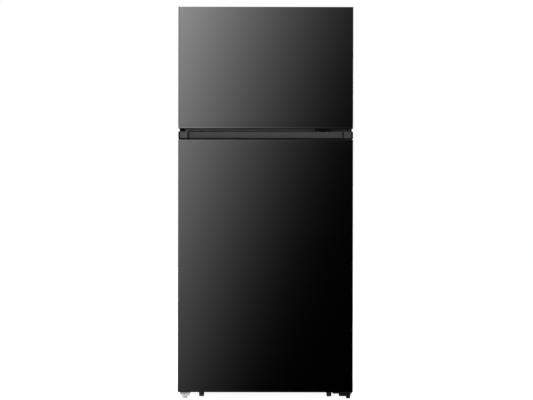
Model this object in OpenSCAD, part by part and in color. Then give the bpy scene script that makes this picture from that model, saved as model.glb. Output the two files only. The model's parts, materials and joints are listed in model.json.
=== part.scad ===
// Free-standing two-door refrigerator with the freezer on top and both doors hinged on the right.
// +X is to the right seen from the front, +Y goes back, +Z is up. The origin is on the floor,
// under the centre of the whole object.

/* [Overall] */
// Width of the doors
overall_w = 760; // [740:2:800]
// Height from the floor to the top of the freezer door
overall_h = 1700; // [1680:5:1760]
// Depth from the door faces to the back edge of the cabinet
overall_d = 778; // [770:2:800]

/* [Doors] */
// Thickness of each door
door_t = 62; // [60:1:66]
// Height of the middle of the gap between the doors
gap_z = 1166; // [1150:1:1180]
// Height of the gap between the doors
door_gap = 14; // [12:1:16]
// Height of the lower door's bottom edge above the floor
door_foot = 29; // [28:1:31]
// Visible height of the hand recess at the top of the lower door
grip_h = 35; // [30:1:40]
// Depth of the hand recesses behind the door faces
grip_d = 32; // [28:1:34]
// Hinge axis, in from the doors' right edge
hinge_in = 22; // [20:1:23]
// Hinge axis, back from the door faces
hinge_back = 30; // [28:1:31]

/* [Compartments] */
// Thickness of the fridge compartment's side walls
fridge_wall = 45; // [42:1:50]
// Thickness of the freezer compartment's side walls
freezer_wall = 56; // [52:1:60]
// Height of the lower glass shelf
shelf_low_z = 600; // [560:10:640]
// Height of the upper glass shelf
shelf_high_z = 850; // [820:10:880]
// Height of the glass over the crispers
crisper_cover_z = 352; // [350:1:360]
// Height of the freezer's wire shelf
wire_shelf_z = 1400; // [1380:5:1430]

/* [Feet and rollers] */
// Distance of the front rollers from the middle
front_roller_x = 279; // [260:1:290]
// Distance of the rear rollers from the middle
rear_roller_x = 300; // [280:1:320]
// Distance of the left levelling foot from the middle
left_foot_x = 350; // [345:1:352]
// Distance of the right levelling foot from the middle
right_foot_x = 361; // [358:1:363]

/* [Hidden] */
$fn = 48;

// Colours
dark_steel = [0.10, 0.10, 0.105];
dark_plastic = [0.19, 0.19, 0.19];
black = [0.03, 0.03, 0.03];
white_plastic = [0.90, 0.91, 0.92];
foam_yellow = [0.85, 0.78, 0.52];
zinc = [0.62, 0.63, 0.64];
glass_green = [0.75, 0.88, 0.86, 0.4];
clear_plastic = [0.82, 0.87, 0.90, 0.4];
copper = [0.72, 0.42, 0.27];

// Main planes
front = -overall_d / 2;
rear = overall_d / 2;
door_x = overall_w / 2;
door_back = front + door_t;
gasket_t = 10;
cab_front = door_back + gasket_t;
cab_x = door_x - 3;
cab_top = overall_h - 28;
cab_bottom = 40;
skin = 1.2;
sheet = 2;
slack = 0.2;
flange_w = 20;

// Doors and hinges
lower_door_top = gap_z - door_gap / 2;
upper_door_bottom = gap_z + door_gap / 2;
panel_top = lower_door_top - grip_h;
hinge_x = door_x - hinge_in;
hinge_y = front + hinge_back;
pin_r = 5;
pin_gap = 0.05;
grip_left = door_x - 38;
grip_right = door_x - 42;
grip_back = front + grip_d;
gasket_w = 18;
dyke_d = 65;
dyke_w = 28;
bin_reach = 105;

// Compartments
fridge_x = cab_x - fridge_wall;
fridge_floor = 98;
fridge_top = 1122;
fridge_back = 330;
step_y = 140;
step_z = 325;
freezer_x = cab_x - freezer_wall;
freezer_floor = 1208;
freezer_top = cab_top - 54;
freezer_back = 325;
rail_z = [1128, 1202];
shelf_front = -196;
shelf_back = 304;

// Machine compartment
machine_y = 188;
machine_z = 270;
base_top = cab_bottom + 2;
cover_y = rear - 5;
fan_x = 150;
fan_y = 290;
fan_z = 154;
compressor_x = -235;

// Freezer fan
blower_z = 1515;
evap_cover_y = 243;
evap_cover_t = 4;

// ---------- helpers ----------

function arc_points(cx, cy, r, a0, a1, n = 6) =
    [for (i = [0:n]) let (a = a0 + (a1 - a0) * i / n) [cx + r * cos(a), cy + r * sin(a)]];

function rounded_points(x, y, r) = concat(
    arc_points(x[1] - r, y[1] - r, r, 0, 90),
    arc_points(x[0] + r, y[1] - r, r, 90, 180),
    arc_points(x[0] + r, y[0] + r, r, 180, 270),
    arc_points(x[1] - r, y[0] + r, r, 270, 360));

// Rectangle with round corners, from the range x by the range y
module rounded(x, y, r) {
    polygon(rounded_points(x, y, r));
}

// Box from three ranges
module block(x, y, z) {
    translate([x[0], y[0], z[0]]) cube([x[1] - x[0], y[1] - y[0], z[1] - z[0]]);
}

// 2D drawn in X and Y, extruded over the range z
module along_z(z) {
    translate([0, 0, z[0]]) linear_extrude(z[1] - z[0]) children();
}

// 2D drawn in X and Z, extruded over the range y
module along_y(y) {
    translate([0, y[1], 0]) rotate([90, 0, 0]) linear_extrude(y[1] - y[0]) children();
}

// 2D drawn in Y and Z, extruded over the range x
module along_x(x) {
    translate([x[0], 0, 0]) rotate([90, 0, 90]) linear_extrude(x[1] - x[0]) children();
}

module rod_x(x, y, z, r) {
    translate([x[0], y, z]) rotate([0, 90, 0]) cylinder(r = r, h = x[1] - x[0]);
}

module rod_y(x, y, z, r) {
    translate([x, y[1], z]) rotate([90, 0, 0]) cylinder(r = r, h = y[1] - y[0]);
}

module rod_z(x, y, z, r) {
    translate([x, y, z[0]]) cylinder(r = r, h = z[1] - z[0]);
}

// Round tube swept along a route of points
function unit(v) = v / norm(v);
function tangent(p, i) =
    i == 0 ? unit(p[1] - p[0])
    : i == len(p) - 1 ? unit(p[i] - p[i - 1])
    : unit(unit(p[i + 1] - p[i]) + unit(p[i] - p[i - 1]));
function side_of(t) = abs(t.z) < 0.9 ? [0, 0, 1] : [1, 0, 0];
function across(ref, t) = unit(ref - (ref * t) * t);
function normals(p, i = 0, last = undef) =
    let (t = tangent(p, i), n = across(is_undef(last) ? side_of(t) : last, t))
    i == len(p) - 1 ? [n] : concat([n], normals(p, i + 1, n));
// Rounds each corner of a route with a curve that starts r before it
function eased(p, r, n = 4) = [
    for (i = [0:len(p) - 1]) each (i == 0 || i == len(p) - 1) ? [p[i]] :
        let (a = p[i] + unit(p[i - 1] - p[i]) * r, b = p[i] + unit(p[i + 1] - p[i]) * r)
        [for (k = [0:n]) let (s = k / n) (1 - s) * (1 - s) * a + 2 * s * (1 - s) * p[i] + s * s * b]];

module tube(p, r, sides = 8) {
    ns = normals(p);
    rings = len(p);
    points = [for (i = [0:rings - 1]) let (t = tangent(p, i), n = ns[i], b = cross(t, n))
        for (k = [0:sides - 1]) p[i] + r * (cos(360 * k / sides) * n + sin(360 * k / sides) * b)];
    walls = [for (i = [0:rings - 2], k = [0:sides - 1])
        let (a = i * sides + k, b = i * sides + (k + 1) % sides)
        each [[a, a + sides, b + sides], [a, b + sides, b]]];
    ends = [[for (k = [0:sides - 1]) k], [for (k = [sides - 1:-1:0]) (rings - 1) * sides + k]];
    polyhedron(points = points, faces = concat(walls, ends));
}

// ---------- cabinet ----------

module shell_outline(inset, r) {
    rounded([-cab_x + inset, cab_x - inset], [cab_bottom - 30, cab_top - inset], r);
}

// Painted steel wrapper: two sides and the top, with flanges turned in at the front and back
module cabinet_shell() {
    color(dark_steel) difference() {
        union() {
            difference() {
                along_y([cab_front, rear]) shell_outline(0, 6);
                along_y([cab_front - 1, rear + 1]) shell_outline(skin, 6 - skin);
            }
            difference() {
                along_y([cab_front, cab_front + skin]) shell_outline(skin / 2, 5);
                block([-cab_x + flange_w, cab_x - flange_w], [cab_front - 1, cab_front + skin + 1],
                      [0, cab_top - flange_w]);
            }
            difference() {
                along_y([rear - skin, rear]) shell_outline(skin / 2, 5);
                block([-cab_x + 14, cab_x - 14], [rear - skin - 1, rear + 1], [0, cab_top - 14]);
            }
        }
        block([-cab_x - 1, cab_x + 1], [cab_front - 1, rear + 1], [0, cab_bottom]);
    }
}

module liner_shell_freezer(grow) {
    along_y([cab_front - 1, freezer_back + grow])
        rounded([-freezer_x - grow, freezer_x + grow],
                [freezer_floor - grow, freezer_top + grow], 14 + grow);
}

module fridge_profile(grow) {
    polygon([
        [cab_front - 1, fridge_floor - grow], [step_y + grow, fridge_floor - grow],
        [step_y + grow, step_z - grow], [fridge_back + grow, step_z - grow],
        [fridge_back + grow, fridge_top + grow], [cab_front - 1, fridge_top + grow]]);
}

module liner_shell_fridge(grow) {
    intersection() {
        along_x([-fridge_x - grow, fridge_x + grow]) fridge_profile(grow);
        along_y([cab_front - 1, fridge_back + grow])
            rounded([-fridge_x - grow, fridge_x + grow],
                    [fridge_floor - grow, fridge_top + grow], 14 + grow);
    }
}

// Polyurethane foam that fills the space between the wrapper and the liners
module cabinet_foam() {
    gap = 0.5;
    color(foam_yellow) difference() {
        along_y([cab_front + sheet + gap, rear - 3])
            rounded([-cab_x + skin + gap, cab_x - skin - gap],
                    [cab_bottom + skin + gap, cab_top - skin - gap], 5);
        liner_shell_freezer(sheet + gap);
        liner_shell_fridge(sheet + gap);
        block([-cab_x, cab_x], [machine_y - skin - gap, rear + 1], [0, machine_z + skin + gap]);
    }
}

// Flat rear sheet above the machine compartment
module back_panel() {
    color(zinc) along_y([rear - 2.6, rear - 1.4])
        rounded([-cab_x + 6, cab_x - 6], [machine_z + 0.3, cab_top - 8], 4);
}

// Stepped steel sheet: floor of the cabinet and roof of the machine compartment
module floor_pan() {
    x = cab_x - skin - slack;
    color(zinc) along_x([-x, x]) polygon([
        [cab_front + 3, cab_bottom], [machine_y, cab_bottom], [machine_y, machine_z],
        [rear - 3, machine_z], [rear - 3, machine_z + skin],
        [machine_y - skin, machine_z + skin], [machine_y - skin, cab_bottom + skin],
        [cab_front + 3, cab_bottom + skin]]);
}

module front_flange(x, z, hole_x, hole_z) {
    difference() {
        block([-x, x], [cab_front, cab_front + sheet], z);
        along_y([cab_front - 1, cab_front + sheet + 1])
            rounded([-hole_x, hole_x], hole_z, 14);
    }
}

// White inner box of the freezer, with a rib each side that carries the shelf
module freezer_liner() {
    x = cab_x - flange_w - slack;
    z = [rail_z[1] + slack, cab_top - flange_w - slack];
    color(white_plastic) {
        difference() {
            union() {
                difference() {
                    liner_shell_freezer(sheet);
                    block([-cab_x, cab_x], [cab_front - 9, cab_front], [0, overall_h]);
                }
                front_flange(x, z, freezer_x, [freezer_floor, freezer_top]);
            }
            liner_shell_freezer(0);
        }
        for (s = [-1, 1])
            block(s > 0 ? [freezer_x - 12, freezer_x + 1] : [-freezer_x - 1, -freezer_x + 12],
                  [shelf_front + 8, 225], [wire_shelf_z - 12, wire_shelf_z - 6.2]);
    }
}

module side_rib(s, y, z) {
    block(s > 0 ? [fridge_x - 18, fridge_x + 1] : [-fridge_x - 1, -fridge_x + 18], y, z);
}

// White inner box of the fridge, stepped over the machine compartment, with shelf ribs
module fridge_liner() {
    x = cab_x - flange_w - slack;
    z = [cab_bottom + 4, rail_z[0] - slack];
    color(white_plastic) {
        difference() {
            union() {
                difference() {
                    liner_shell_fridge(sheet);
                    block([-cab_x, cab_x], [cab_front - 9, cab_front], [0, overall_h]);
                }
                front_flange(x, z, fridge_x, [fridge_floor, fridge_top]);
            }
            liner_shell_fridge(0);
        }
        for (s = [-1, 1]) {
            for (h = [shelf_low_z, shelf_high_z])
                side_rib(s, [shelf_front + 20, shelf_back - 20], [h - 12, h - slack]);
            side_rib(s, [shelf_front + 20, step_y + 1],
                     [crisper_cover_z - 22, crisper_cover_z - 12 - slack]);
            for (x0 = [40, 250])
                block(s > 0 ? [x0, x0 + 14] : [-x0 - 14, -x0],
                      [shelf_front + 10, step_y - 20], [fridge_floor - 1, fridge_floor + 6]);
        }
    }
}

// Steel rail across the front of the divider, where both gaskets land
module mullion_rail() {
    x = cab_x - flange_w - slack;
    color(dark_plastic) difference() {
        block([-x, x], [cab_front, cab_front + sheet], rail_z);
        for (hx = centre_screw_x)
            rod_y(hx, [cab_front - 1, cab_front + sheet + 1], gap_z, 2.6);
    }
}
centre_screw_x = [door_x - 150, door_x - 110];

// Duct on the fridge's back wall that lets cold air out beside each shelf
module air_tower() {
    wall = 2.5;
    y = [fridge_back - 24, fridge_back - slack];
    z = [400, fridge_top - slack];
    color(white_plastic) difference() {
        block([-70, 70], y, z);
        block([-70 + wall, 70 - wall], [y[0] + wall, y[1] + 1], [z[0] + wall, z[1] - wall]);
        for (h = [470, 500, 720, 750, 970, 1000], s = [-1, 1])
            block(s > 0 ? [18, 56] : [-56, -18], [y[0] - 1, y[0] + wall + 1], [h, h + 9]);
    }
}

// Freezer back wall: hides the evaporator, with outlets round the fan and intakes below
module evaporator_cover() {
    y = [evap_cover_y, evap_cover_y + evap_cover_t];
    cut = [y[0] - 1, y[1] + 1];
    color(white_plastic) difference() {
        along_y(y) rounded([-freezer_x + 1.5, freezer_x - 1.5],
                           [freezer_floor + 2, freezer_top - 2], 13);
        for (h = [-45, -27, -9, 9, 27, 45]) {
            half = sqrt(55 * 55 - h * h);
            block([-half, half], cut, [blower_z + h - 4, blower_z + h + 4]);
        }
        for (k = [-7:7])
            block([k * 38 - 13, k * 38 + 13], cut, [freezer_floor + 22, freezer_floor + 30]);
        block([-30, 30], cut, [slider_z - 2.5, slider_z + 2.5]);
    }
}
slider_z = 1300;

// Aluminium cooling coil: fins on six straight tubes between two end plates
module evaporator() {
    color("silver") union() {
        for (k = [-12:12])
            block([k * 19.5 - 0.8, k * 19.5 + 0.8], [262, 312], [1222, 1420]);
        for (h = [1240, 1275, 1310, 1345, 1380, 1405], y = [276, 298])
            rod_x([-242, 242], y, h, 4.5);
    }
}

module evaporator_fan_motor() {
    post = 64;
    back = evap_cover_y + evap_cover_t;
    color(black) union() {
        for (x = [-post, post])
            rod_y(x, [back, back + 36], blower_z, 4);
        block([-post - 8, post + 8], [back + 33, back + 36], [blower_z - 10, blower_z + 10]);
        rod_y(0, [back + 33, back + 62], blower_z, 22);
        rod_y(0, [back + 9, back + 34], blower_z, 2.5);
    }
}

module fan_wheel(hub_r, tip_r, bore_r, width, blades) {
    difference() {
        union() {
            cylinder(r = hub_r, h = width);
            for (k = [0:blades - 1])
                rotate([0, 0, k * 360 / blades]) translate([hub_r - 2, 0, width / 2])
                    rotate([32, 0, 0]) translate([0, -hub_r * 0.62, -0.9])
                        cube([tip_r - hub_r + 2, hub_r * 1.24, 1.8]);
        }
        translate([0, 0, -1]) cylinder(r = bore_r, h = width + 2);
    }
}

module evaporator_fan() {
    color(white_plastic)
        translate([0, evap_cover_y + evap_cover_t + 28, blower_z]) rotate([90, 0, 0])
            fan_wheel(14, 52, 2.5 + pin_gap, 15, 6);
}

// Slider that sets how much cold air goes down to the fridge
module airflow_slider() {
    y = evap_cover_y;
    color(dark_plastic) union() {
        block([-11, 11], [y - 9, y - 0.3], [slider_z - 9, slider_z + 9]);
        block([-4.5, 4.5], [y - 1, y + evap_cover_t + 1], [slider_z - 2.2, slider_z + 2.2]);
        block([-42, 42], [y + evap_cover_t + 0.3, y + evap_cover_t + 2.8],
              [slider_z - 12, slider_z + 12]);
    }
}

// Wire shelf: rods across, wires front to back welded on top of them
module freezer_wire_shelf() {
    z = wire_shelf_z;
    half = freezer_x - 6;
    y = [shelf_front + 6, evap_cover_y - 10];
    color("white") union() {
        for (ry = [y[0] + 3, -50, 90, y[1] - 3])
            rod_x([-half, half], ry, z - 3, 3);
        for (k = [-12:12])
            rod_y(k * 25, y, z + 1.5, 2);
    }
}

// ---------- fridge shelves and controls ----------

module pane(z, y1) {
    block([-fridge_x + 4, fridge_x - 4], [shelf_front + 10, y1 - 8], [z, z + 4]);
}

module shelf_glass() {
    color(glass_green) {
        pane(shelf_low_z, shelf_back);
        pane(shelf_high_z, shelf_back);
        pane(crisper_cover_z, step_y - 2);
    }
}

// Plastic trim clipped over one edge of a pane that lies at height z
module edge_trim(z, y, slot_y) {
    difference() {
        along_x([-fridge_x + 19, fridge_x - 19])
            rounded(y, [z - 7, z + 9], 3);
        block([-fridge_x, fridge_x], slot_y, [z - slack / 2, z + 4 + slack / 2]);
    }
}

module shelf_frames() {
    color(white_plastic) for (z = [shelf_low_z, shelf_high_z]) {
        edge_trim(z, [shelf_front, shelf_front + 18],
                  [shelf_front + 10 - slack, shelf_front + 19]);
        edge_trim(z, [shelf_back - 16, shelf_back],
                  [shelf_back - 17, shelf_back - 8 + slack]);
    }
}

// Frame under the glass over the crispers, with the divider between the two drawers
module crisper_cover_frame() {
    z = crisper_cover_z;
    y = [shelf_front, step_y - 2];
    color(white_plastic) union() {
        difference() {
            block([-fridge_x + 2, fridge_x - 2], y, [z - 12, z + 6]);
            block([-fridge_x + 4 - slack, fridge_x - 4 + slack],
                  [y[0] + 10 - slack, y[1] - 8 + slack], [z - slack / 2, z + 7]);
            block([-fridge_x + 30, -8], [y[0] + 24, y[1] - 20], [z - 13, z + 1]);
            block([8, fridge_x - 30], [y[0] + 24, y[1] - 20], [z - 13, z + 1]);
        }
        block([-3, 3], [y[0] + 12, y[1]], [fridge_floor + 0.5, z - 11]);
    }
}

control_y = [-150, 40];
control_z = fridge_top - 34;
dial_z = fridge_top - 18;
dial_x = -50;

// Side profile of the control housing, made smaller all round by the inset
module control_profile(inset) {
    polygon([
        [control_y[0] + inset, control_z + inset], [control_y[1] - inset, control_z + 14 + inset],
        [control_y[1] - inset, fridge_top - slack], [control_y[0] + inset, fridge_top - slack]]);
}

module control_housing() {
    wall = 2.5;
    shaft_y = control_y[0] + 12;
    color(white_plastic) difference() {
        along_x([-115, 115]) control_profile(0);
        intersection() {
            along_x([-115 + wall, 115 - wall]) control_profile(wall);
            block([-115, 115], [shaft_y + wall, control_y[1]], [control_z, fridge_top]);
        }
        rod_y(dial_x, [control_y[0] - 1, shaft_y], dial_z, 4 + pin_gap);
    }
}

// Knob that sets the temperature, on a stub shaft in the control housing
module temperature_dial() {
    y = control_y[0];
    color(dark_plastic) union() {
        rod_y(dial_x, [y - 13, y - 0.4], dial_z, 13);
        rod_y(dial_x, [y - 1, y + 11], dial_z, 4);
        block([dial_x - 2.5, dial_x + 2.5], [y - 17, y - 12], [dial_z - 11, dial_z + 11]);
    }
}

module lamp_covers() {
    color("white") {
        along_z([fridge_top - 10, fridge_top - slack]) rounded([-60, 60], [52, 112], 8);
        along_z([freezer_top - 10, freezer_top - slack]) rounded([-45, 45], [-120, -70], 8);
    }
}

// ---------- crisper drawers ----------

crisper_z = [fridge_floor + 6.3, crisper_cover_z - 20];
crisper_y = [shelf_front + 12, step_y - 8];
crisper_w = fridge_x - 18;

// Clear drawer between x = near and x = near + width on one side, s = -1 left or 1 right
module crisper(s) {
    x = s > 0 ? [6, crisper_w] : [-crisper_w, -6];
    wall = 2.5;
    grip_x = (x[0] + x[1]) / 2;
    color(clear_plastic) union() {
        difference() {
            along_z(crisper_z) rounded(x, crisper_y, 12);
            along_z([crisper_z[0] + wall, crisper_z[1] + 1])
                rounded([x[0] + wall, x[1] - wall], [crisper_y[0] + wall, crisper_y[1] - wall],
                        12 - wall);
        }
        difference() {
            along_y([crisper_y[0] - 6, crisper_y[0] + 1])
                rounded(x, [crisper_z[0], crisper_z[1] + 4], 6);
            along_y([crisper_y[0] - 7, crisper_y[0] + 5])
                rounded([grip_x - 55, grip_x + 55], [crisper_z[1] - 22, crisper_z[1] + 20], 8);
        }
    }
}

// ---------- machine compartment ----------

module compressor_profile() {
    polygon(concat([[0, 0], [66, 0]], arc_points(66, 6, 6, -90, 0), arc_points(36, 120, 36, 0, 90),
                   [[0, 156]]));
}

// Hermetic compressor on a foot plate and four rubber bushes
module compressor() {
    foot_z = base_top + 14;
    color(black) union() {
        for (x = [-78, 78], y = [-56, 56])
            rod_z(compressor_x + x, fan_y + y, [base_top, foot_z], 10);
        along_z([foot_z, foot_z + 3])
            rounded([compressor_x - 92, compressor_x + 92], [fan_y - 70, fan_y + 70], 12);
        translate([compressor_x, fan_y, foot_z + 3]) rotate_extrude() compressor_profile();
        block([compressor_x + 60, compressor_x + 98], [fan_y - 26, fan_y + 26],
              [foot_z + 30, foot_z + 100]);
    }
}

module compressor_base() {
    x = cab_x - skin - slack;
    color(zinc) difference() {
        union() {
            block([-x, x], [machine_y + 1, cover_y - 1], [cab_bottom, base_top]);
            block([-x, x], [machine_y + 1, machine_y + 3], [cab_bottom, base_top + 12]);
        }
        for (k = [-3:3])
            along_z([cab_bottom - 1, base_top + 1]) rounded([k * 14 + 260, k * 14 + 266],
                                                            [230, 350], 2.9);
    }
}

module drain_pan() {
    x = [-108, 112];
    y = [204, 376];
    color(black) difference() {
        along_z([base_top, base_top + 28]) rounded(x, y, 10);
        along_z([base_top + 2, base_top + 29])
            rounded([x[0] + 2, x[1] - 2], [y[0] + 2, y[1] - 2], 8);
    }
}

// Condenser: one steel tube that runs to and fro in three upright layers
coil_x = [-95, 100];
coil_y = [235, 290, 345];
coil_z = [for (k = [0:5]) 210 - k * 24];
function coil_row(layer, k) =
    let (z = coil_z[layer % 2 == 0 ? k : 5 - k], first = (k + layer * 6) % 2)
    [[coil_x[first], coil_y[layer], z], [coil_x[1 - first], coil_y[layer], z]];
coil_route = [for (layer = [0:2], k = [0:5]) each coil_row(layer, k)];

module condenser_coil() {
    color(black) tube(eased(coil_route, 9, 3), 3.2);
}

module condenser_fan_motor() {
    ring = 86;
    color(black) union() {
        difference() {
            block([fan_x, fan_x + 3], [200, 380], [base_top, 260]);
            rod_x([fan_x - 1, fan_x + 4], fan_y, fan_z, 78);
        }
        for (s = [-1, 1])
            rod_x([fan_x + 2, fan_x + 50], fan_y + s * ring, fan_z, 4);
        block([fan_x + 47, fan_x + 50], [fan_y - ring - 8, fan_y + ring + 8],
              [fan_z - 9, fan_z + 9]);
        rod_x([fan_x + 47, fan_x + 82], fan_y, fan_z, 24);
        rod_x([fan_x + 6, fan_x + 48], fan_y, fan_z, 3);
    }
}

module condenser_fan() {
    color(black) translate([fan_x + 10, fan_y, fan_z]) rotate([0, 90, 0])
        fan_wheel(20, 72, 3 + pin_gap, 18, 5);
}

// Copper lines and the filter drier
module refrigerant_lines() {
    drier = [128, 215];
    top = machine_z - 0.5;
    color(copper) union() {
        tube(eased([[-162, fan_y, 190], [-120, fan_y, 190], [-120, fan_y, 236],
                    [-120, 235, 236], [-120, 235, 210], [-98.5, 235, 210]], 9), 3);
        tube(eased([[-286, 345, 175], [-286, 366, 175], [-286, 366, top]], 9), 3.5);
        tube(eased([[103.5, coil_y[2], coil_z[5]], [124, coil_y[2], coil_z[5]],
                    [124, 345, 110], [124, 372, 110], [124, 372, top]], 7), 3);
    }
    color(copper) union() {
        rod_z(drier[0], drier[1], [110, 200], 9);
        rod_z(drier[0], drier[1], [199, top], 3);
        rod_z(drier[0], drier[1], [96, 111], 3);
    }
}

cord_x = -320;
cord_z = 100;
gland_hole_r = 9;

// Rear cover of the machine compartment, with air slots
module machine_cover() {
    y = [cover_y, cover_y + 2];
    cut = [y[0] - 1, y[1] + 1];
    color(black) difference() {
        along_y(y) rounded([-cab_x + 3, cab_x - 3], [base_top + 2, machine_z - 0.5], 5);
        for (k = [0:17], h = [90, 160])
            along_y(cut) rounded([k * 28 - 218, k * 28 - 211], [h, h + 50], 3.4);
        rod_y(cord_x, cut, cord_z, gland_hole_r);
        for (x = cover_screw_x, z = cover_screw_z)
            rod_y(x, cut, z, 2.4);
    }
}
cover_screw_x = [-355, 0, 355];
cover_screw_z = [base_top + 14, machine_z - 6];

// Bush in the rear cover that the power lead comes out of
module cord_gland() {
    translate([cord_x, 0, cord_z]) color(dark_plastic) difference() {
        union() {
            rod_y(0, [cover_y - 8, cover_y + 4], 0, gland_hole_r - 0.1);
            rod_y(0, [cover_y + 2, rear], 0, 14);
            rod_y(0, [cover_y - 6, cover_y - 0.1], 0, 12);
        }
        rod_y(0, [cover_y - 10, rear + 1], 0, cord_bore_r);
    }
}
cord_bore_r = 4.2;

// ---------- hinges ----------

top_plate_z = [overall_h - 20, overall_h - 16];

// Outline of the upper hinge: a boss round the pin and an arm that goes back and to the left,
// so that the corner of the open door passes it
module hinge_outline(grow) {
    hull() {
        translate([hinge_x, hinge_y]) circle(10 + grow, $fn = 32);
        translate([hinge_x - 26, hinge_y + 40]) circle(12 + grow, $fn = 32);
    }
    translate([hinge_x - 70 - grow, hinge_y + 44 - grow])
        square([80 + 2 * grow, 66 + 2 * grow]);
    hull() {
        translate([hinge_x - 30, hinge_y + 42]) circle(14 + grow, $fn = 32);
        translate([hinge_x - 40, hinge_y + 60]) circle(14 + grow, $fn = 32);
    }
}
top_screw_at = [[-56, 64], [-4, 64], [-30, 96]];

module top_hinge() {
    color(zinc) difference() {
        union() {
            along_z(top_plate_z) hinge_outline(0);
            block([hinge_x - 70, hinge_x + 10], [hinge_y + 52, hinge_y + 110],
                  [cab_top, top_plate_z[0] + 1]);
            rod_z(hinge_x, hinge_y, [overall_h - 48, top_plate_z[1]], pin_r);
        }
        for (p = top_screw_at)
            rod_z(hinge_x + p[0], hinge_y + p[1], [cab_top - 1, overall_h], 3.3);
    }
}

module top_hinge_cover() {
    low = overall_h - 22;
    high = overall_h - 2;
    color(dark_plastic) difference() {
        union() {
            along_z([low, high]) hinge_outline(3);
            block([hinge_x - 73, hinge_x + 13], [hinge_y + 46, hinge_y + 113],
                  [cab_top + slack, low + 1]);
        }
        along_z([low - 1, high - 2]) hinge_outline(1);
        block([hinge_x - 71, hinge_x + 11], [hinge_y + 44, hinge_y + 111], [cab_top, low + 2]);
    }
}

centre_plate_z = [gap_z, gap_z + 4];

// Middle hinge: plate between the doors with a pin up and a pin down
module centre_hinge() {
    left = centre_screw_x[0] - 15;
    right = centre_screw_x[1] + 15;
    color(black) difference() {
        union() {
            along_z(centre_plate_z) hull() {
                translate([hinge_x, hinge_y]) circle(9, $fn = 32);
                translate([left, cab_front - 12]) square([right - left, 12]);
            }
            block([left, right], [cab_front - 3, cab_front], [rail_z[0] + 20, gap_z + 18]);
            rod_z(hinge_x, hinge_y, [lower_door_top - 19, upper_door_bottom + 19], pin_r);
        }
        for (x = centre_screw_x)
            rod_y(x, [cab_front - 4, cab_front + 1], gap_z - 9, 3.3);
    }
}

foot_plate_z = [22, 26];

// Stepped bracket under a front corner of the cabinet: plate, riser and top flange
module corner_bracket(x) {
    block(x, [cab_front - 58, cab_front - 1], foot_plate_z);
    block(x, [cab_front - 4, cab_front - 1], [foot_plate_z[0], 54]);
    block(x, [cab_front - 2, cab_front + 70], [cab_bottom - 4, cab_bottom - slack]);
}
bottom_plate_x = [door_x - 87, door_x - 4];
left_plate_x = [-door_x + 9, -door_x + 54];
foot_y = front + 39;
stud_r = 4;

module bottom_hinge() {
    color(black) difference() {
        union() {
            corner_bracket(bottom_plate_x);
            block([door_x - 59, door_x - 9], [foot_y - 14, foot_y + 22], [10, foot_plate_z[0] + 1]);
            rod_z(hinge_x, hinge_y, [foot_plate_z[0], door_foot + 19], pin_r);
        }
        rod_z(right_foot_x, foot_y, [0, foot_plate_z[0] + 2.9], stud_r + pin_gap);
        for (x = bottom_screw_x)
            rod_y(x, [cab_front - 5, cab_front], bracket_screw_z, 3.3);
    }
}
bottom_screw_x = [door_x - 72, door_x - 46, door_x - 20];
left_screw_x = [-door_x + 20, -door_x + 43];
bracket_screw_z = 46;

module left_foot_bracket() {
    color(zinc) difference() {
        union() {
            corner_bracket(left_plate_x);
            rod_z(-left_foot_x, foot_y, [20, foot_plate_z[0] + 1], 9);
        }
        rod_z(-left_foot_x, foot_y, [0, foot_plate_z[1] + 1], stud_r + pin_gap);
        for (x = left_screw_x)
            rod_y(x, [cab_front - 5, cab_front], bracket_screw_z, 3.3);
    }
}

// Levelling foot: pad on the floor, disc to turn it by, and a stud in the bracket
module levelling_foot(pad_r, disc_r, disc_z, stud_top) {
    union() {
        cylinder(r = pad_r, h = disc_z[0] + 0.5);
        translate([0, 0, disc_z[0]]) cylinder(r = disc_r, h = disc_z[1] - disc_z[0]);
        cylinder(r = stud_r, h = stud_top);
    }
}

module left_levelling_foot() {
    color(zinc) translate([-left_foot_x, foot_y, 0])
        levelling_foot(12, 21, [11, 19.6], foot_plate_z[1] - 0.5);
}

module right_levelling_foot() {
    color(black) translate([right_foot_x, foot_y, 0])
        levelling_foot(10, 10, [6, 9.6], foot_plate_z[0] + 2.5);
}

// ---------- rollers ----------

front_roller = [16, 17, cab_front + 17];
rear_roller = [18.5, 18.5, 345];
front_width = 12;
rear_width = 18;
axle_r = 3;

// Two cheeks and a top plate; wheel = [radius, axle height, y]
module roller_bracket(x, wheel, width) {
    cheek = 2;
    inner = width / 2 + 0.8;
    difference() {
        union() {
            for (s = [-1, 1])
                along_x([x + s * (inner + cheek / 2) - cheek / 2,
                         x + s * (inner + cheek / 2) + cheek / 2])
                    rounded([wheel[2] - 15, wheel[2] + 15], [wheel[1] - 9, cab_bottom - slack], 6);
            block([x - inner - cheek, x + inner + cheek], [wheel[2] - 15, wheel[2] + 15],
                  [cab_bottom - 2.5, cab_bottom - slack]);
        }
        rod_x([x - 30, x + 30], wheel[2], wheel[1], axle_r + pin_gap);
    }
}

module roller_brackets() {
    color(black) for (s = [-1, 1]) {
        roller_bracket(s * front_roller_x, front_roller, front_width);
        roller_bracket(s * rear_roller_x, rear_roller, rear_width);
    }
}

// Wheel with a groove round its middle, on its own stub axle
module roller(x, wheel, width) {
    stub = width / 2 + 4;
    color(dark_plastic) translate([x, wheel[2], wheel[1]]) rotate([0, 90, 0]) union() {
        difference() {
            translate([0, 0, -width / 2]) cylinder(r = wheel[0], h = width);
            translate([0, 0, -1.5]) difference() {
                cylinder(r = wheel[0] + 1, h = 3);
                translate([0, 0, -1]) cylinder(r = wheel[0] - 2, h = 5);
            }
        }
        translate([0, 0, -stub]) cylinder(r = axle_r, h = 2 * stub);
    }
}

// ---------- fasteners ----------

module screw(length) {
    cylinder(r = 6, h = 1.8);
    translate([0, 0, -length]) cylinder(r = 3, h = length + 1);
}

module screw_forward(x, y, z, length) {
    translate([x, y, z]) rotate([90, 0, 0]) screw(length);
}

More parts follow.
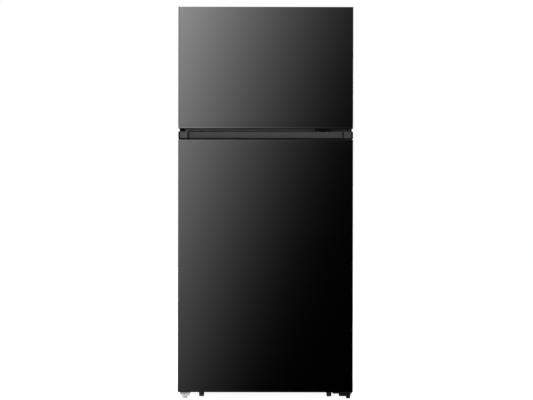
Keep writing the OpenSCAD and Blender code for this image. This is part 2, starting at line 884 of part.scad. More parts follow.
module screws() {
    color("silver") {
        for (p = top_screw_at)
            translate([hinge_x + p[0], hinge_y + p[1], top_plate_z[1]]) screw(11);
        for (x = centre_screw_x)
            screw_forward(x, cab_front - 3, gap_z - 9, 2.8);
        for (x = concat(bottom_screw_x, left_screw_x))
            screw_forward(x, cab_front - 4, bracket_screw_z, 2.8);
        for (x = cover_screw_x, z = cover_screw_z)
            translate([x, cover_y + 2, z]) rotate([-90, 0, 0]) {
                cylinder(r = 5, h = 2);
                translate([0, 0, -2]) cylinder(r = 2.2, h = 3);
            }
    }
}

// ---------- doors ----------

// Steel door skin: front face with returns down both sides
module door_skin(z) {
    color(dark_steel) difference() {
        along_z(z) rounded([-door_x, door_x], [front, door_back + 20], 5);
        along_z([z[0] - 1, z[1] + 1])
            rounded([-door_x + skin, door_x - skin], [front + skin, door_back + 30], 5 - skin);
        block([-door_x - 1, door_x + 1], [door_back - 6, door_back + 40], [z[0] - 1, z[1] + 1]);
    }
}

cap_x = door_x - skin - slack;
cap_y = [front + skin + slack, door_back - sheet - slack];
cap_h = 32;
foam_y = [cap_y[0] + 0.3, cap_y[1] - 0.3];

// Body of a cap that closes one end of a door skin
module cap_block(z) {
    along_z(z) rounded([-cap_x, cap_x], cap_y, 4);
}

// The raised back of a door liner: a ring that stands into the cabinet round a shallow pocket
module liner_ring(x, z, out, pocket_y) {
    difference() {
        along_y([door_back - sheet - 3, door_back + dyke_d - out])
            rounded([-x + out, x - out], [z[0] + out, z[1] - out], 16 - out);
        along_y([pocket_y - out, door_back + dyke_d + 1])
            rounded([-x + dyke_w - out, x - dyke_w + out], [z[0] + dyke_w - out, z[1] - dyke_w + out],
                    12 + out);
    }
}

// Lugs inside the ring that a bin hangs on
module bin_lugs(x, heights) {
    for (s = [-1, 1], h = heights)
        block(s > 0 ? [x - dyke_w - 6, x - dyke_w + 0.5] : [-x + dyke_w - 0.5, -x + dyke_w + 6],
              [door_back + 20, door_back + 58], [h - 10, h - slack]);
}

pocket_y = door_back + 12;

module door_liner(x, ring_z, flange_z, heights) {
    color(white_plastic) union() {
        difference() {
            union() {
                along_y([door_back - sheet, door_back])
                    rounded([-cab_x + 3, cab_x - 3], flange_z, 8);
                difference() {
                    liner_ring(x, ring_z, 0, pocket_y);
                    block([-door_x, door_x], [front, door_back - sheet], [0, overall_h]);
                }
            }
            liner_ring(x, ring_z, sheet, pocket_y);
        }
        bin_lugs(x, heights);
    }
}

module door_foam(x, ring_z, z) {
    gap = 0.4;
    color(foam_yellow) union() {
        along_z(z) rounded([-cap_x + 1, cap_x - 1], foam_y, 4);
        difference() {
            liner_ring(x, ring_z, sheet + gap, pocket_y);
            block([-door_x, door_x], [front, foam_y[1] - 1], [0, overall_h]);
        }
    }
}

// Magnetic seal with a groove round its middle
module gasket(z) {
    back = cab_front - slack;
    color(zinc) difference() {
        along_y([door_back, back]) rounded([-hinge_x, hinge_x], z, 12);
        along_y([door_back - 1, back + 1])
            rounded([-hinge_x + gasket_w, hinge_x - gasket_w],
                    [z[0] + gasket_w, z[1] - gasket_w], 6);
        difference() {
            along_y([door_back + 3, door_back + 6])
                rounded([-hinge_x - 1, hinge_x + 1], [z[0] - 1, z[1] + 1], 13);
            along_y([door_back + 2, door_back + 7])
                rounded([-hinge_x + 4, hinge_x - 4], [z[0] + 4, z[1] - 4], 9);
        }
    }
}

// Open-topped door bin with a low wall on the side that faces the cabinet
module door_bin(x, z, h) {
    wall = 2.5;
    y = [pocket_y + 0.4, door_back + bin_reach];
    color(clear_plastic) difference() {
        along_z([z, z + h]) rounded([-x, x], y, 10);
        along_z([z + wall, z + h + 1])
            rounded([-x + wall, x - wall], [y[0] + wall, y[1] - wall], 10 - wall);
        block([-x + 30, x - 30], [y[0] + 20, y[1] + 1], [z + h - 18, z + h + 1]);
    }
}

freezer_ring_x = freezer_x - 9;
freezer_ring_z = [freezer_floor + 10, freezer_top - 10];
fridge_ring_x = fridge_x - 10;
fridge_ring_z = [fridge_floor + 12, fridge_top - 12];
freezer_bin_z = [freezer_ring_z[0] + 48, freezer_ring_z[0] + 218];
fridge_bin_z = [160, 560, 850];
bin_gap = 0.6;

// Space at the top right corner of the freezer door that the upper hinge stands in
module hinge_notch() {
    block([hinge_x - 48, door_x + 1], [front + 8, door_back + 1], [overall_h - 24, overall_h + 1]);
}

module freezer_door_panel() {
    difference() {
        door_skin([upper_door_bottom, overall_h]);
        hinge_notch();
    }
}

// Top cap of the freezer door, cut away behind its front wall to make room for the hinge
module freezer_door_top_cap() {
    z = [overall_h - cap_h, overall_h];
    color(dark_plastic) difference() {
        cap_block(z);
        hinge_notch();
        block([-cap_x + 3, hinge_x - 52], [cap_y[0] + 3, cap_y[1] - 3], [z[0] - 1, z[1] - 3]);
        rod_z(hinge_x, hinge_y, [z[0] - 1, z[1] + 1], pin_r + pin_gap);
    }
}

// Bottom cap of the freezer door, with a hand recess that opens downwards
module freezer_door_bottom_cap() {
    z = [upper_door_bottom, upper_door_bottom + cap_h];
    color(dark_plastic) difference() {
        cap_block(z);
        block([-grip_left, grip_right], [cap_y[0] + 3, grip_back], [z[0] - 1, z[0] + 26]);
        block([-grip_left, grip_right], [grip_back + 4, cap_y[1] - 3], [z[0] + 4, z[1] + 1]);
        rod_z(hinge_x, hinge_y, [z[0] - 1, z[0] + 20], pin_r + pin_gap);
    }
}

module freezer_door_liner() {
    door_liner(freezer_ring_x, freezer_ring_z, [upper_door_bottom + 3, overall_h - 26],
               freezer_bin_z);
}

module freezer_door_foam() {
    difference() {
        door_foam(freezer_ring_x, freezer_ring_z,
                  [upper_door_bottom + cap_h + 0.3, overall_h - cap_h - 0.3]);
        rod_z(hinge_x, hinge_y, [overall_h - 52, overall_h], pin_r + 1);
    }
}

module freezer_door_gasket() {
    gasket([upper_door_bottom + 13, freezer_top + 40]);
}

module freezer_door_bins() {
    for (z = freezer_bin_z)
        door_bin(freezer_ring_x - dyke_w - bin_gap, z, 92);
}

module fridge_door_panel() {
    door_skin([door_foot, panel_top]);
}

// Top cap of the fridge door: end blocks, and between them a channel behind the panel's edge
module fridge_door_top_cap() {
    low = panel_top - 27;
    grip_floor = panel_top - 23;
    inside = [cap_y[0] + 3, grip_back];
    color(dark_plastic) difference() {
        union() {
            cap_block([low, panel_top]);
            block([-cap_x + 2, cap_x - 2], [cap_y[0] + 4, cap_y[1]],
                  [panel_top - 1, panel_top + 6]);
            along_z([panel_top + 5, lower_door_top])
                rounded([-cap_x - 0.6, cap_x + 0.6], [front + 1.5, cap_y[1]], 4);
        }
        block([-grip_left, grip_right], inside, [grip_floor, lower_door_top + 1]);
        block([-grip_left, grip_right], [front - 1, grip_back], [panel_top, lower_door_top + 1]);
        block([-grip_left, grip_right], [grip_back + 4, cap_y[1] - 3],
              [low - 1, lower_door_top - 3]);
        rod_z(hinge_x, hinge_y, [lower_door_top - 20, lower_door_top + 1], pin_r + pin_gap);
    }
}

module fridge_door_bottom_cap() {
    z = [door_foot, door_foot + cap_h];
    color(black) difference() {
        cap_block(z);
        block([-cap_x + 3, hinge_x - 30], [cap_y[0] + 3, cap_y[1] - 3], [z[0] + 3, z[1] + 1]);
        rod_z(hinge_x, hinge_y, [z[0] - 1, z[0] + 20], pin_r + pin_gap);
    }
}

module fridge_door_liner() {
    door_liner(fridge_ring_x, fridge_ring_z, [door_foot + 3, lower_door_top - 3], fridge_bin_z);
}

module fridge_door_foam() {
    top = panel_top - 27.3;
    difference() {
        door_foam(fridge_ring_x, fridge_ring_z, [door_foot + cap_h + 0.3, top]);
        block([-door_x, door_x], [front, cap_y[1] + 0.3], [top, overall_h]);
    }
}

module fridge_door_gasket() {
    gasket([door_foot + 31, lower_door_top - 13]);
}

module fridge_bin(k, h) {
    door_bin(fridge_ring_x - dyke_w - bin_gap, fridge_bin_z[k], h);
}

cabinet_shell();
cabinet_foam();
back_panel();
floor_pan();
freezer_liner();
fridge_liner();
mullion_rail();
air_tower();
evaporator_cover();
evaporator();
evaporator_fan_motor();
freezer_wire_shelf();
shelf_glass();
shelf_frames();
crisper_cover_frame();
control_housing();
lamp_covers();
compressor();
compressor_base();
condenser_coil();
condenser_fan_motor();
drain_pan();
refrigerant_lines();
machine_cover();
cord_gland();
top_hinge();
top_hinge_cover();
centre_hinge();
bottom_hinge();
left_foot_bracket();
roller_brackets();
screws();
evaporator_fan();
condenser_fan();
temperature_dial();
airflow_slider();
crisper(-1);  // crisper_left
crisper(1);  // crisper_right
left_levelling_foot();
right_levelling_foot();
roller(-front_roller_x, front_roller, front_width);  // front_left_roller
roller(front_roller_x, front_roller, front_width);  // front_right_roller
roller(-rear_roller_x, rear_roller, rear_width);  // rear_left_roller
roller(rear_roller_x, rear_roller, rear_width);  // rear_right_roller
freezer_door_panel();
freezer_door_top_cap();
freezer_door_bottom_cap();
freezer_door_liner();
freezer_door_foam();
freezer_door_gasket();
freezer_door_bins();
fridge_door_panel();
fridge_door_top_cap();
fridge_door_bottom_cap();
fridge_door_liner();
fridge_door_foam();
fridge_door_gasket();
fridge_bin(2, 95);  // fridge_bin_upper
fridge_bin(1, 110);  // fridge_bin_middle
fridge_bin(0, 150);  // fridge_bin_lower
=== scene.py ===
import json
import math

import bmesh
import bpy
from mathutils import Matrix, Vector


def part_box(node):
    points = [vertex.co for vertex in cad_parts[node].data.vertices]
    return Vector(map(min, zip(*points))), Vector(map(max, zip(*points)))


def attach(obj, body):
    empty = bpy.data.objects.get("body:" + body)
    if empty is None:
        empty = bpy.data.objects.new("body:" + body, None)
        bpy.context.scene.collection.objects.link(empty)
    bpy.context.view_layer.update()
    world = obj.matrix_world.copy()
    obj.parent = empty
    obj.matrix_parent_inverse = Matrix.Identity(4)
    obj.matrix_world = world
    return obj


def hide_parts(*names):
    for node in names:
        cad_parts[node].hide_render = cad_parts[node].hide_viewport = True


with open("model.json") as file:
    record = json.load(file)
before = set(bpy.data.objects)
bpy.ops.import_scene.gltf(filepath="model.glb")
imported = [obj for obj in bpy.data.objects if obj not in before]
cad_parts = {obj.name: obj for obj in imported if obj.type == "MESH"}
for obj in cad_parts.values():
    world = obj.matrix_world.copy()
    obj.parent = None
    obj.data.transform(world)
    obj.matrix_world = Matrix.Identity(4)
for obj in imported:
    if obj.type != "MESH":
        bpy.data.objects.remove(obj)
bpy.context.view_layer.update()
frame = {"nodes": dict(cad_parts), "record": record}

MM = 0.001
NODES = frame["nodes"]
BODY_OF = {
    node: body
    for body, members in frame["record"]["behaviour"]["bodies"].items()
    for node in members
}


# ---------- node materials ----------

class Net:
    """A node tree, with short ways to add and join nodes."""

    def __init__(self, owner):
        owner.use_nodes = True
        self.tree = owner.node_tree

    def node(self, kind, **settings):
        made = self.tree.nodes.new("ShaderNode" + kind)
        for key, value in settings.items():
            setattr(made, key, value)
        return made

    def link(self, source, target):
        self.tree.links.new(source, target)

    def ranged(self, value, low, high, start=0.3, end=0.7, **settings):
        made = self.node("MapRange", **settings)
        for socket, number in zip(("From Min", "From Max", "To Min", "To Max"), (start, end, low, high)):
            made.inputs[socket].default_value = number
        self.link(value, made.inputs["Value"])
        return made.outputs["Result"]


class Graph(Net):
    """A material's node tree, with its shader and the textures that feed it."""

    def __init__(self, name):
        self.material = bpy.data.materials.new(name)
        super().__init__(self.material)
        self.shader = self.tree.nodes["Principled BSDF"]

    def coordinates(self, stretch=(1, 1, 1)):
        place = self.node("TexCoord")
        mapping = self.node("Mapping")
        mapping.inputs["Scale"].default_value = stretch
        self.link(place.outputs["Object"], mapping.inputs["Vector"])
        return mapping.outputs["Vector"]

    def noise(self, scale, detail=3.0, stretch=(1, 1, 1)):
        made = self.node("TexNoise")
        made.inputs["Scale"].default_value = scale
        made.inputs["Detail"].default_value = detail
        made.inputs["Roughness"].default_value = 0.55
        self.link(self.coordinates(stretch), made.inputs["Vector"])
        return made.outputs["Fac"]

    def cells(self, scale, output="Color", feature="F1"):
        made = self.node("TexVoronoi", feature=feature)
        made.inputs["Scale"].default_value = scale
        self.link(self.coordinates(), made.inputs["Vector"])
        return made.outputs[output]

    def mixed(self, factor, a, b):
        made = self.node("Mix", data_type="RGBA")
        made.inputs[6].default_value = (*a, 1)
        made.inputs[7].default_value = (*b, 1)
        self.link(factor, made.inputs[0])
        return made.outputs[2]

    def bump(self, height, depth, strength=1.0):
        made = self.node("Bump")
        made.inputs["Strength"].default_value = strength
        made.inputs["Distance"].default_value = depth
        self.link(height, made.inputs["Height"])
        before = self.shader.inputs["Normal"]
        if before.is_linked:
            self.link(before.links[0].from_socket, made.inputs["Normal"])
        self.link(made.outputs["Normal"], before)

    def colour(self, value, dark, light):
        tone = self.mixed(self.ranged(value, 0, 1), dark, light)
        self.link(tone, self.shader.inputs["Base Color"])

    def gloss(self, value, low, high, start=0.3, end=0.7):
        self.link(self.ranged(value, low, high, start, end), self.shader.inputs["Roughness"])

    def set(self, **sockets):
        for name, value in sockets.items():
            self.shader.inputs[name.replace("_", " ")].default_value = value


def moulded(name, dark, light, rough, grain=1800, depth=0.03, drift=5.0, mirror=0.5):
    """Plastic, rubber or plain paint: a slow drift of tone, uneven gloss and a fine grain."""
    g = Graph(name)
    g.colour(g.noise(drift), dark, light)
    g.gloss(g.noise(drift * 6), *rough)
    g.bump(g.noise(grain, 2.0), depth * MM)
    g.set(Specular_IOR_Level=mirror)
    return g.material


def sheet_metal(name, dark, light, rough, stretch, metallic):
    """Bare or coated metal with a rolled or brushed grain along one direction."""
    g = Graph(name)
    streaks = g.noise(300, 4.0, stretch)
    g.colour(streaks, dark, light)
    g.gloss(g.noise(180, 3.0, stretch), *rough)
    g.bump(streaks, 0.01 * MM)
    g.set(Metallic=metallic)
    return g.material


def black_stainless():
    """Dark coated steel: fine horizontal brushing, and gloss that drifts a little over the door."""
    g = Graph("black_stainless")
    brush = (0.012, 0.012, 1.0)
    fine = g.noise(2600, 2.0, brush)
    g.colour(fine, (0.27, 0.27, 0.272), (0.30, 0.30, 0.301))
    g.gloss(g.noise(5.5, 4.0), 0.212, 0.228)
    g.bump(fine, 0.0012 * MM)
    g.set(Metallic=1.0)
    return g.material


def textured_paint():
    """Cabinet sides and top: dark paint on embossed sheet."""
    g = Graph("cabinet_paint")
    g.colour(g.noise(4.0), (0.022, 0.022, 0.023), (0.030, 0.030, 0.031))
    g.gloss(g.noise(60), 0.38, 0.42)
    g.bump(g.cells(420, "Distance", "SMOOTH_F1"), 0.10 * MM, 0.7)
    g.bump(g.noise(1500, 2.0), 0.02 * MM)
    return g.material


def galvanised():
    """Zinc-coated sheet: crystals of different grey and gloss, with rolling streaks."""
    g = Graph("galvanised_sheet")
    crystal = g.cells(150)
    split = g.node("SeparateColor")
    g.link(crystal, split.inputs["Color"])
    tone = g.mixed(split.outputs[0], (0.46, 0.47, 0.48), (0.54, 0.55, 0.56))
    g.link(tone, g.shader.inputs["Base Color"])
    g.gloss(split.outputs[1], 0.38, 0.46, 0, 1)
    g.bump(g.noise(700, 3.0, (1, 1, 0.1)), 0.012 * MM)
    g.set(Metallic=1.0)
    return g.material


def foamed():
    """Yellowish rigid foam with open cells."""
    g = Graph("foam")
    g.colour(g.noise(40), (0.62, 0.52, 0.25), (0.74, 0.64, 0.36))
    g.gloss(g.noise(90), 0.8, 0.95)
    g.bump(g.cells(900, "Distance"), 0.5 * MM)
    return g.material


def clear(name, tint, shade, alpha, rough):
    """Clear glass or plastic with faint waviness."""
    g = Graph(name)
    g.colour(g.noise(12), tint, shade)
    g.gloss(g.noise(25), *rough)
    g.bump(g.noise(70, 2.0), 0.04 * MM)
    g.set(Transmission_Weight=0.85, IOR=1.5, Alpha=alpha)
    return g.material


def fibre_board():
    """Dark pressed board of the rear cover, with short level fibres."""
    g = Graph("cover_board")
    fibre = g.noise(420, 5.0, (1, 1, 0.4))
    g.colour(fibre, (0.035, 0.035, 0.034), (0.075, 0.073, 0.070))
    g.gloss(g.noise(160), 0.6, 0.8)
    g.bump(fibre, 0.12 * MM)
    return g.material


def copper():
    """Drawn copper, darker and duller where it has tarnished."""
    g = Graph("copper_tube")
    patina = g.noise(45, 5.0)
    g.colour(patina, (0.42, 0.19, 0.10), (0.80, 0.42, 0.28))
    g.gloss(patina, 0.42, 0.22)
    g.bump(g.noise(600, 3.0), 0.02 * MM)
    g.set(Metallic=1.0)
    return g.material


def lit_lens():
    """Milky lamp cover with a soft glow."""
    g = Graph("lamp_lens")
    g.colour(g.noise(30), (0.86, 0.88, 0.90), (0.93, 0.94, 0.95))
    g.gloss(g.noise(60), 0.3, 0.42)
    g.bump(g.noise(500, 2.0), 0.05 * MM)
    g.set(Emission_Color=(1.0, 0.97, 0.92, 1), Emission_Strength=9.0)
    return g.material


def grey(level):
    """A neutral colour."""
    return (level, level, level)


# Slot: dark tone, light tone, roughness range, grain scale and depth in millimetres, drift scale, mirror
MOULDED = {
    "white_liner": ((0.70, 0.71, 0.72), (0.725, 0.735, 0.745), (0.29, 0.31), 420, 0.006, 2.0),
    "white_plastic": ((0.66, 0.67, 0.68), (0.69, 0.70, 0.71), (0.38, 0.42), 1500, 0.015),
    "white_wire": ((0.70, 0.71, 0.72), (0.74, 0.74, 0.75), (0.30, 0.36), 500, 0.03),
    "rail_grey": ((0.080, 0.080, 0.081), (0.095, 0.095, 0.096), (0.32, 0.34), 900, 0.004),
    "black_paint": ((0.012, 0.012, 0.013), grey(0.022), (0.24, 0.42), 160, 0.12),
    "black_tube": (grey(0.014), (0.030, 0.029, 0.028), (0.35, 0.55), 400, 0.05),
    "gland_rubber": (grey(0.018), grey(0.030), (0.55, 0.7), 1200, 0.05),
    "roller_plastic": (grey(0.020), (0.036, 0.036, 0.035), (0.4, 0.6), 600, 0.08),
    "dial_plastic": ((0.030, 0.031, 0.033), (0.042, 0.043, 0.045), (0.34, 0.44)),
    "gasket_rubber": ((0.20, 0.20, 0.205), (0.25, 0.25, 0.255), (0.5, 0.62), 700, 0.04),
    # black_plastic is taken darker than the plastic itself, so that the grip channel under the lower door's
    # strip shows painted shade besides the plastic's own black.
    "black_plastic": (grey(0.003), grey(0.005), (0.46, 0.58), 1800, 0.03, 5.0, 0.25),
    "cap_plastic": ((0.052, 0.052, 0.053), (0.060, 0.060, 0.061), (0.46, 0.56), 1600, 0.02, 5.0, 0.25),
    "hinge_black": (grey(0.006), grey(0.012), (0.40, 0.52), 420, 0.06, 5.0, 0.3),
}
# Slot: dark tone, light tone, roughness range, stretch of the grain, share of metal
METALS = {
    "aluminium_fin": ((0.72, 0.73, 0.74), (0.85, 0.86, 0.87), (0.28, 0.40), (1, 1, 0.1), 1.0),
    "hinge_steel": ((0.50, 0.50, 0.51), (0.62, 0.62, 0.63), (0.32, 0.45), (1, 0.1, 1), 1.0),
    "zinc_plate": ((0.66, 0.66, 0.65), (0.80, 0.80, 0.79), (0.36, 0.48), (1, 1, 0.2), 0.35),
    "screw_steel": ((0.56, 0.56, 0.57), (0.72, 0.72, 0.73), (0.22, 0.36), (1, 1, 1), 1.0),
}
# Slot: tint, second tint, alpha, roughness range
CLEARS = {
    "clear_glass": ((0.80, 0.93, 0.90), (0.84, 0.95, 0.92), 0.36, (0.01, 0.04)),
    "clear_plastic": ((0.84, 0.90, 0.94), (0.90, 0.94, 0.97), 0.40, (0.05, 0.12)),
}
MATERIALS = {
    "black_stainless": black_stainless(),
    "cabinet_paint": textured_paint(),
    "foam": foamed(),
    "galvanised_sheet": galvanised(),
    "lamp_lens": lit_lens(),
    "copper_tube": copper(),
    "cover_board": fibre_board(),
    **{name: moulded(name, *row) for name, row in MOULDED.items()},
    **{name: sheet_metal(name, *row) for name, row in METALS.items()},
    **{name: clear(name, *row) for name, row in CLEARS.items()},
}
SLOT_OF = {
    name: (obj.data.materials[0].name.split(".")[0] if obj.data.materials else "")
    for name, obj in NODES.items()
}
for name, obj in NODES.items():
    obj.data.materials[0] = MATERIALS[SLOT_OF[name]]


# ---------- making pieces ----------

def added(name, data):
    """A new object in the scene."""
    made = bpy.data.objects.new(name, data)
    bpy.context.scene.collection.objects.link(made)
    return made


def mesh_of(name, bm):
    """A mesh made from a bmesh, which is then freed."""
    mesh = bpy.data.meshes.new(name)
    bm.to_mesh(mesh)
    bm.free()
    return mesh


def applied(holder):
    """The mesh of an object with its modifiers applied."""
    depsgraph = bpy.context.evaluated_depsgraph_get()
    return bpy.data.meshes.new_from_object(holder.evaluated_get(depsgraph))


def finished(name, mesh, body, slot, replaces=()):
    """A piece made of a finished mesh that rides on a body and takes one slot's material."""
    mesh.materials.clear()
    mesh.materials.append(MATERIALS[slot])
    piece = added(name, mesh)
    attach(piece, body)
    if replaces:
        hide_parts(*replaces)
    return piece


def shaded(mesh, angle=38):
    """Smooth shading that keeps flat faces flat beside their bevels."""
    for polygon in mesh.polygons:
        polygon.use_smooth = True
    mesh.set_sharp_from_angle(angle=math.radians(angle))
    holder = added("holder", mesh)
    weighted = holder.modifiers.new("weighted", "WEIGHTED_NORMAL")
    weighted.keep_sharp = True
    weighted.weight = 60
    result = applied(holder)
    bpy.data.objects.remove(holder)
    return result


def merged(node):
    """The CAD node's mesh with its split edges joined and its flat faces whole."""
    source = NODES[node].data
    bm = bmesh.new()
    verts = [bm.verts.new(v.co) for v in source.vertices]
    for polygon in source.polygons:
        bm.faces.new([verts[i] for i in polygon.vertices])
    bmesh.ops.remove_doubles(bm, verts=bm.verts, dist=0.004 * MM)
    bmesh.ops.dissolve_limit(
        bm, angle_limit=math.radians(0.6), verts=bm.verts, edges=bm.edges, delimit={"NORMAL"}
    )
    return bm


def sharp_edges(bm, angle, chosen=None):
    """Edges that turn by more than an angle in degrees and pass a test."""
    limit = math.radians(angle)
    return [
        e for e in bm.edges
        if len(e.link_faces) == 2 and e.calc_face_angle(0) > limit and (chosen is None or chosen(e))
    ]


def rounded_off(bm, edges, width, segments):
    bmesh.ops.bevel(
        bm, geom=edges, offset=width * MM, offset_type="OFFSET", segments=segments,
        profile=0.5, affect="EDGES", clamp_overlap=True,
    )


def outward(bm):
    """Turns the faces of each separate closed solid outwards."""
    bmesh.ops.recalc_face_normals(bm, faces=bm.faces)
    waiting = set(bm.faces)
    while waiting:
        solid, reached = [], [waiting.pop()]
        while reached:
            face = reached.pop()
            solid.append(face)
            for edge in face.edges:
                for other in edge.link_faces:
                    if other in waiting:
                        waiting.remove(other)
                        reached.append(other)
        volume = sum(
            face.verts[0].co.dot(a.co.cross(b.co))
            for face in solid
            for a, b in zip(face.verts[1:], face.verts[2:])
        )
        if volume < 0:
            bmesh.ops.reverse_faces(bm, faces=solid)


def softened(node, width=0.6, segments=2, big=(), slot=None):
    """The CAD node with its sharp edges rounded; big gives (width, segments, test) for wider ones first."""
    bm = merged(node)
    for wide, steps, test in big:
        rounded_off(bm, sharp_edges(bm, 30, test), wide, steps)
    rounded_off(bm, sharp_edges(bm, 30), width, segments)
    name = node + "_soft"
    finished(name, shaded(mesh_of(name, bm)), BODY_OF[node], slot or SLOT_OF[node], [node])


class Build:
    """Collects closed solids, in millimetres, into one piece."""

    def __init__(self):
        self.bm = bmesh.new()

    def loft(self, rings, wrap=False):
        """Skin through rings of equal point counts, closed at both ends or wrapped round to the first."""
        rows = [[self.bm.verts.new(Vector(p) * MM) for p in ring] for ring in rings]
        count = len(rows[0])
        following = rows[1:] + [rows[0]] if wrap else rows[1:]
        for a, b in zip(rows, following):
            for i in range(count):
                j = (i + 1) % count
                self.bm.faces.new((a[i], a[j], b[j], b[i]))
        if not wrap:
            self.bm.faces.new(rows[0][::-1])
            self.bm.faces.new(rows[-1])

    def slab(self, u, v, w, axis="z", corner=2.0, edge=0.8, steps=3, spin=0, centre=None):
        """Plate with round corners and rounded rims; u and v span it and w is its extent along axis."""
        edge = min(edge, (w[1] - w[0]) / 2.001, (u[1] - u[0]) / 2.001, (v[1] - v[0]) / 2.001)
        low = [(edge * s, w[0] + edge * c) for c, s in quarter(steps)]
        high = [(inset, w[0] + w[1] - level) for inset, level in reversed(low)]
        rings = [
            [placed(axis, *p, level) for p in rounded_outline(u, v, corner, inset)]
            for inset, level in low + high
        ]
        if spin:
            rings = [[turned_about(p, axis, spin, centre) for p in ring] for ring in rings]
        self.loft(rings)

    def turned(self, profile, centre, axis="z", steps=48, wave=None, wrap=False):
        """Solid of revolution: profile is (radius, height) pairs; wave(angle, radius) changes the radius."""
        rings = []
        for radius, height in profile:
            ring = []
            for k in range(steps):
                a = 2 * math.pi * k / steps
                r = wave(a, radius) if wave else radius
                u, v = r * math.cos(a), r * math.sin(a)
                ring.append(Vector(placed(axis, u, v, height)) + Vector(centre))
            rings.append(ring)
        self.loft(rings, wrap)

    def prism(self, outline, w, axis="z"):
        """Straight solid on an outline."""
        self.loft([[placed(axis, u, v, level) for u, v in outline] for level in w])

    def tube(self, points, radius, sides=12):
        """Round bar along a route, with rounded ends."""
        points = [Vector(p) for p in points]
        rings, normal = [], None
        for i, p in enumerate(points):
            ahead = points[min(i + 1, len(points) - 1)] - points[max(i - 1, 0)]
            tangent = ahead.normalized()
            if normal is None:
                normal = tangent.orthogonal().normalized()
            normal = (normal - tangent * normal.dot(tangent)).normalized()
            side = tangent.cross(normal)
            circle = [math.cos(2 * math.pi * k / sides) * normal + math.sin(2 * math.pi * k / sides) * side
                      for k in range(sides)]
            share = 0.72 if i in (0, len(points) - 1) else 1.0
            rings.append([p + radius * share * c for c in circle])
            if i == 0:
                rings.append([p + tangent * radius * 0.3 + radius * c for c in circle])
            elif i == len(points) - 1:
                rings.insert(-1, [p - tangent * radius * 0.3 + radius * c for c in circle])
        self.loft(rings)

    def piece(self, name, body, slot, replaces=(), angle=38):
        """Closes the collection and makes the piece from it."""
        outward(self.bm)
        return finished(name, shaded(mesh_of(name, self.bm), angle), body, slot, replaces)


CORNER_STEPS = 6


def placed(axis, u, v, w):
    """A point from two places across an axis and one along it."""
    return {"z": (u, v, w), "y": (u, w, v), "x": (w, u, v)}[axis]


def turned_about(point, axis, degrees, centre):
    """A point after a turn about an axis through a centre."""
    turn = Matrix.Rotation(math.radians(degrees), 3, axis.upper())
    return turn @ (Vector(point) - Vector(centre)) + Vector(centre)


def rounded_outline(u, v, corner, inset=0.0):
    """Points round a rectangle with round corners, moved inwards by inset."""
    low_u, high_u = u[0] + inset, u[1] - inset
    low_v, high_v = v[0] + inset, v[1] - inset
    r = max(min(corner - inset, (high_u - low_u) / 2.001, (high_v - low_v) / 2.001), 0.05)
    centres = ((high_u - r, high_v - r, 0), (low_u + r, high_v - r, 90),
               (low_u + r, low_v + r, 180), (high_u - r, low_v + r, 270))
    points = []
    for cu, cv, first in centres:
        for k in range(CORNER_STEPS + 1):
            a = math.radians(first + 90 * k / CORNER_STEPS)
            points.append((cu + r * math.cos(a), cv + r * math.sin(a)))
    return points


def span(node):
    """The node's box in millimetres as three (low, high) pairs."""
    low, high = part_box(node)
    return [(low[k] / MM, high[k] / MM) for k in range(3)]


def eased(points, r, steps=5):
    """Rounds each corner of a route with a curve that starts r before it."""
    points = [Vector(p) for p in points]
    route = [points[0]]
    for before, corner, after in zip(points, points[1:], points[2:]):
        a = corner + (before - corner).normalized() * r
        b = corner + (after - corner).normalized() * r
        for k in range(steps + 1):
            s = k / steps
            route.append((1 - s) ** 2 * a + 2 * s * (1 - s) * corner + s * s * b)
    return route + [points[-1]]


def cut_by(piece, x, y, z):
    """Takes a box, given as three ranges in millimetres, out of a piece."""
    cutter = Build()
    cutter.slab(x, y, z, "z", 0.05, 0.02, 1)
    bmesh.ops.recalc_face_normals(cutter.bm, faces=cutter.bm.faces)
    tool = added("cutter", mesh_of("cutter", cutter.bm))
    cut = piece.modifiers.new("cut", "BOOLEAN")
    cut.object = tool
    cut.operation = "DIFFERENCE"
    cut.solver = "EXACT"
    result = applied(piece)
    piece.modifiers.clear()
    piece.data = result
    bpy.data.objects.remove(tool)


def quarter(steps):
    """Pairs (1 - cos, 1 - sin) over a quarter turn, for round corners in a section."""
    turns = [math.pi / 2 * k / steps for k in range(steps + 1)]
    return [(1 - math.cos(a), 1 - math.sin(a)) for a in turns]


def node_centre(node):
    """The middle of a node's box in millimetres."""
    low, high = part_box(node)
    return [(low[k] + high[k]) / 2 / MM for k in range(3)]


# ---------- doors ----------
# Places and sizes here and below are in millimetres, in the CAD's frame.

FRONT = -389.0
DOOR_X = 380.0
DOOR_BACK = -327.0
SKIN = 1.2
CORNER = 5.0
HINGE_X = 358
HINGE_Y = -359
GRIP_X = (-339.0, 338.0)
GRIP_BACK = -357.0
TRIM_X = (-371.6, 371.8)
TRIM_DROP = 27.9
STRIP_DROP = 27.6
SHADE_LIP_END = 222.0
FREEZER_BINS = (1266.0, 1436.0)
FRIDGE_BINS = (160.0, 560.0, 850.0)
BIN_HEIGHT = 92.0

# How far the skin lies behind the door's face near an edge: (distance from the edge, depth)
PLAIN_HEM = [(0.0, 1.15), (0.12, 0.7), (0.45, 0.3), (1.0, 0.06), (1.7, 0.0)]
FLARED_HEM = [(0.0, 1.0), (0.12, 0.6), (0.4, 0.22), (0.8, 0.04), (1.2, 0.0), (2.4, 0.13), (3.8, 0.36),
              (5.2, 0.54), (7.0, 0.61), (10.0, 0.51), (15.0, 0.28), (22.0, 0.08), (30.0, 0.0)]
ROLLED_HEM = [(0.0, 1.4), (0.3, 1.0), (0.8, 0.62), (1.3, 0.32), (1.8, 0.15), (2.6, 0.07), (3.8, 0.02),
              (5.0, 0.0)]


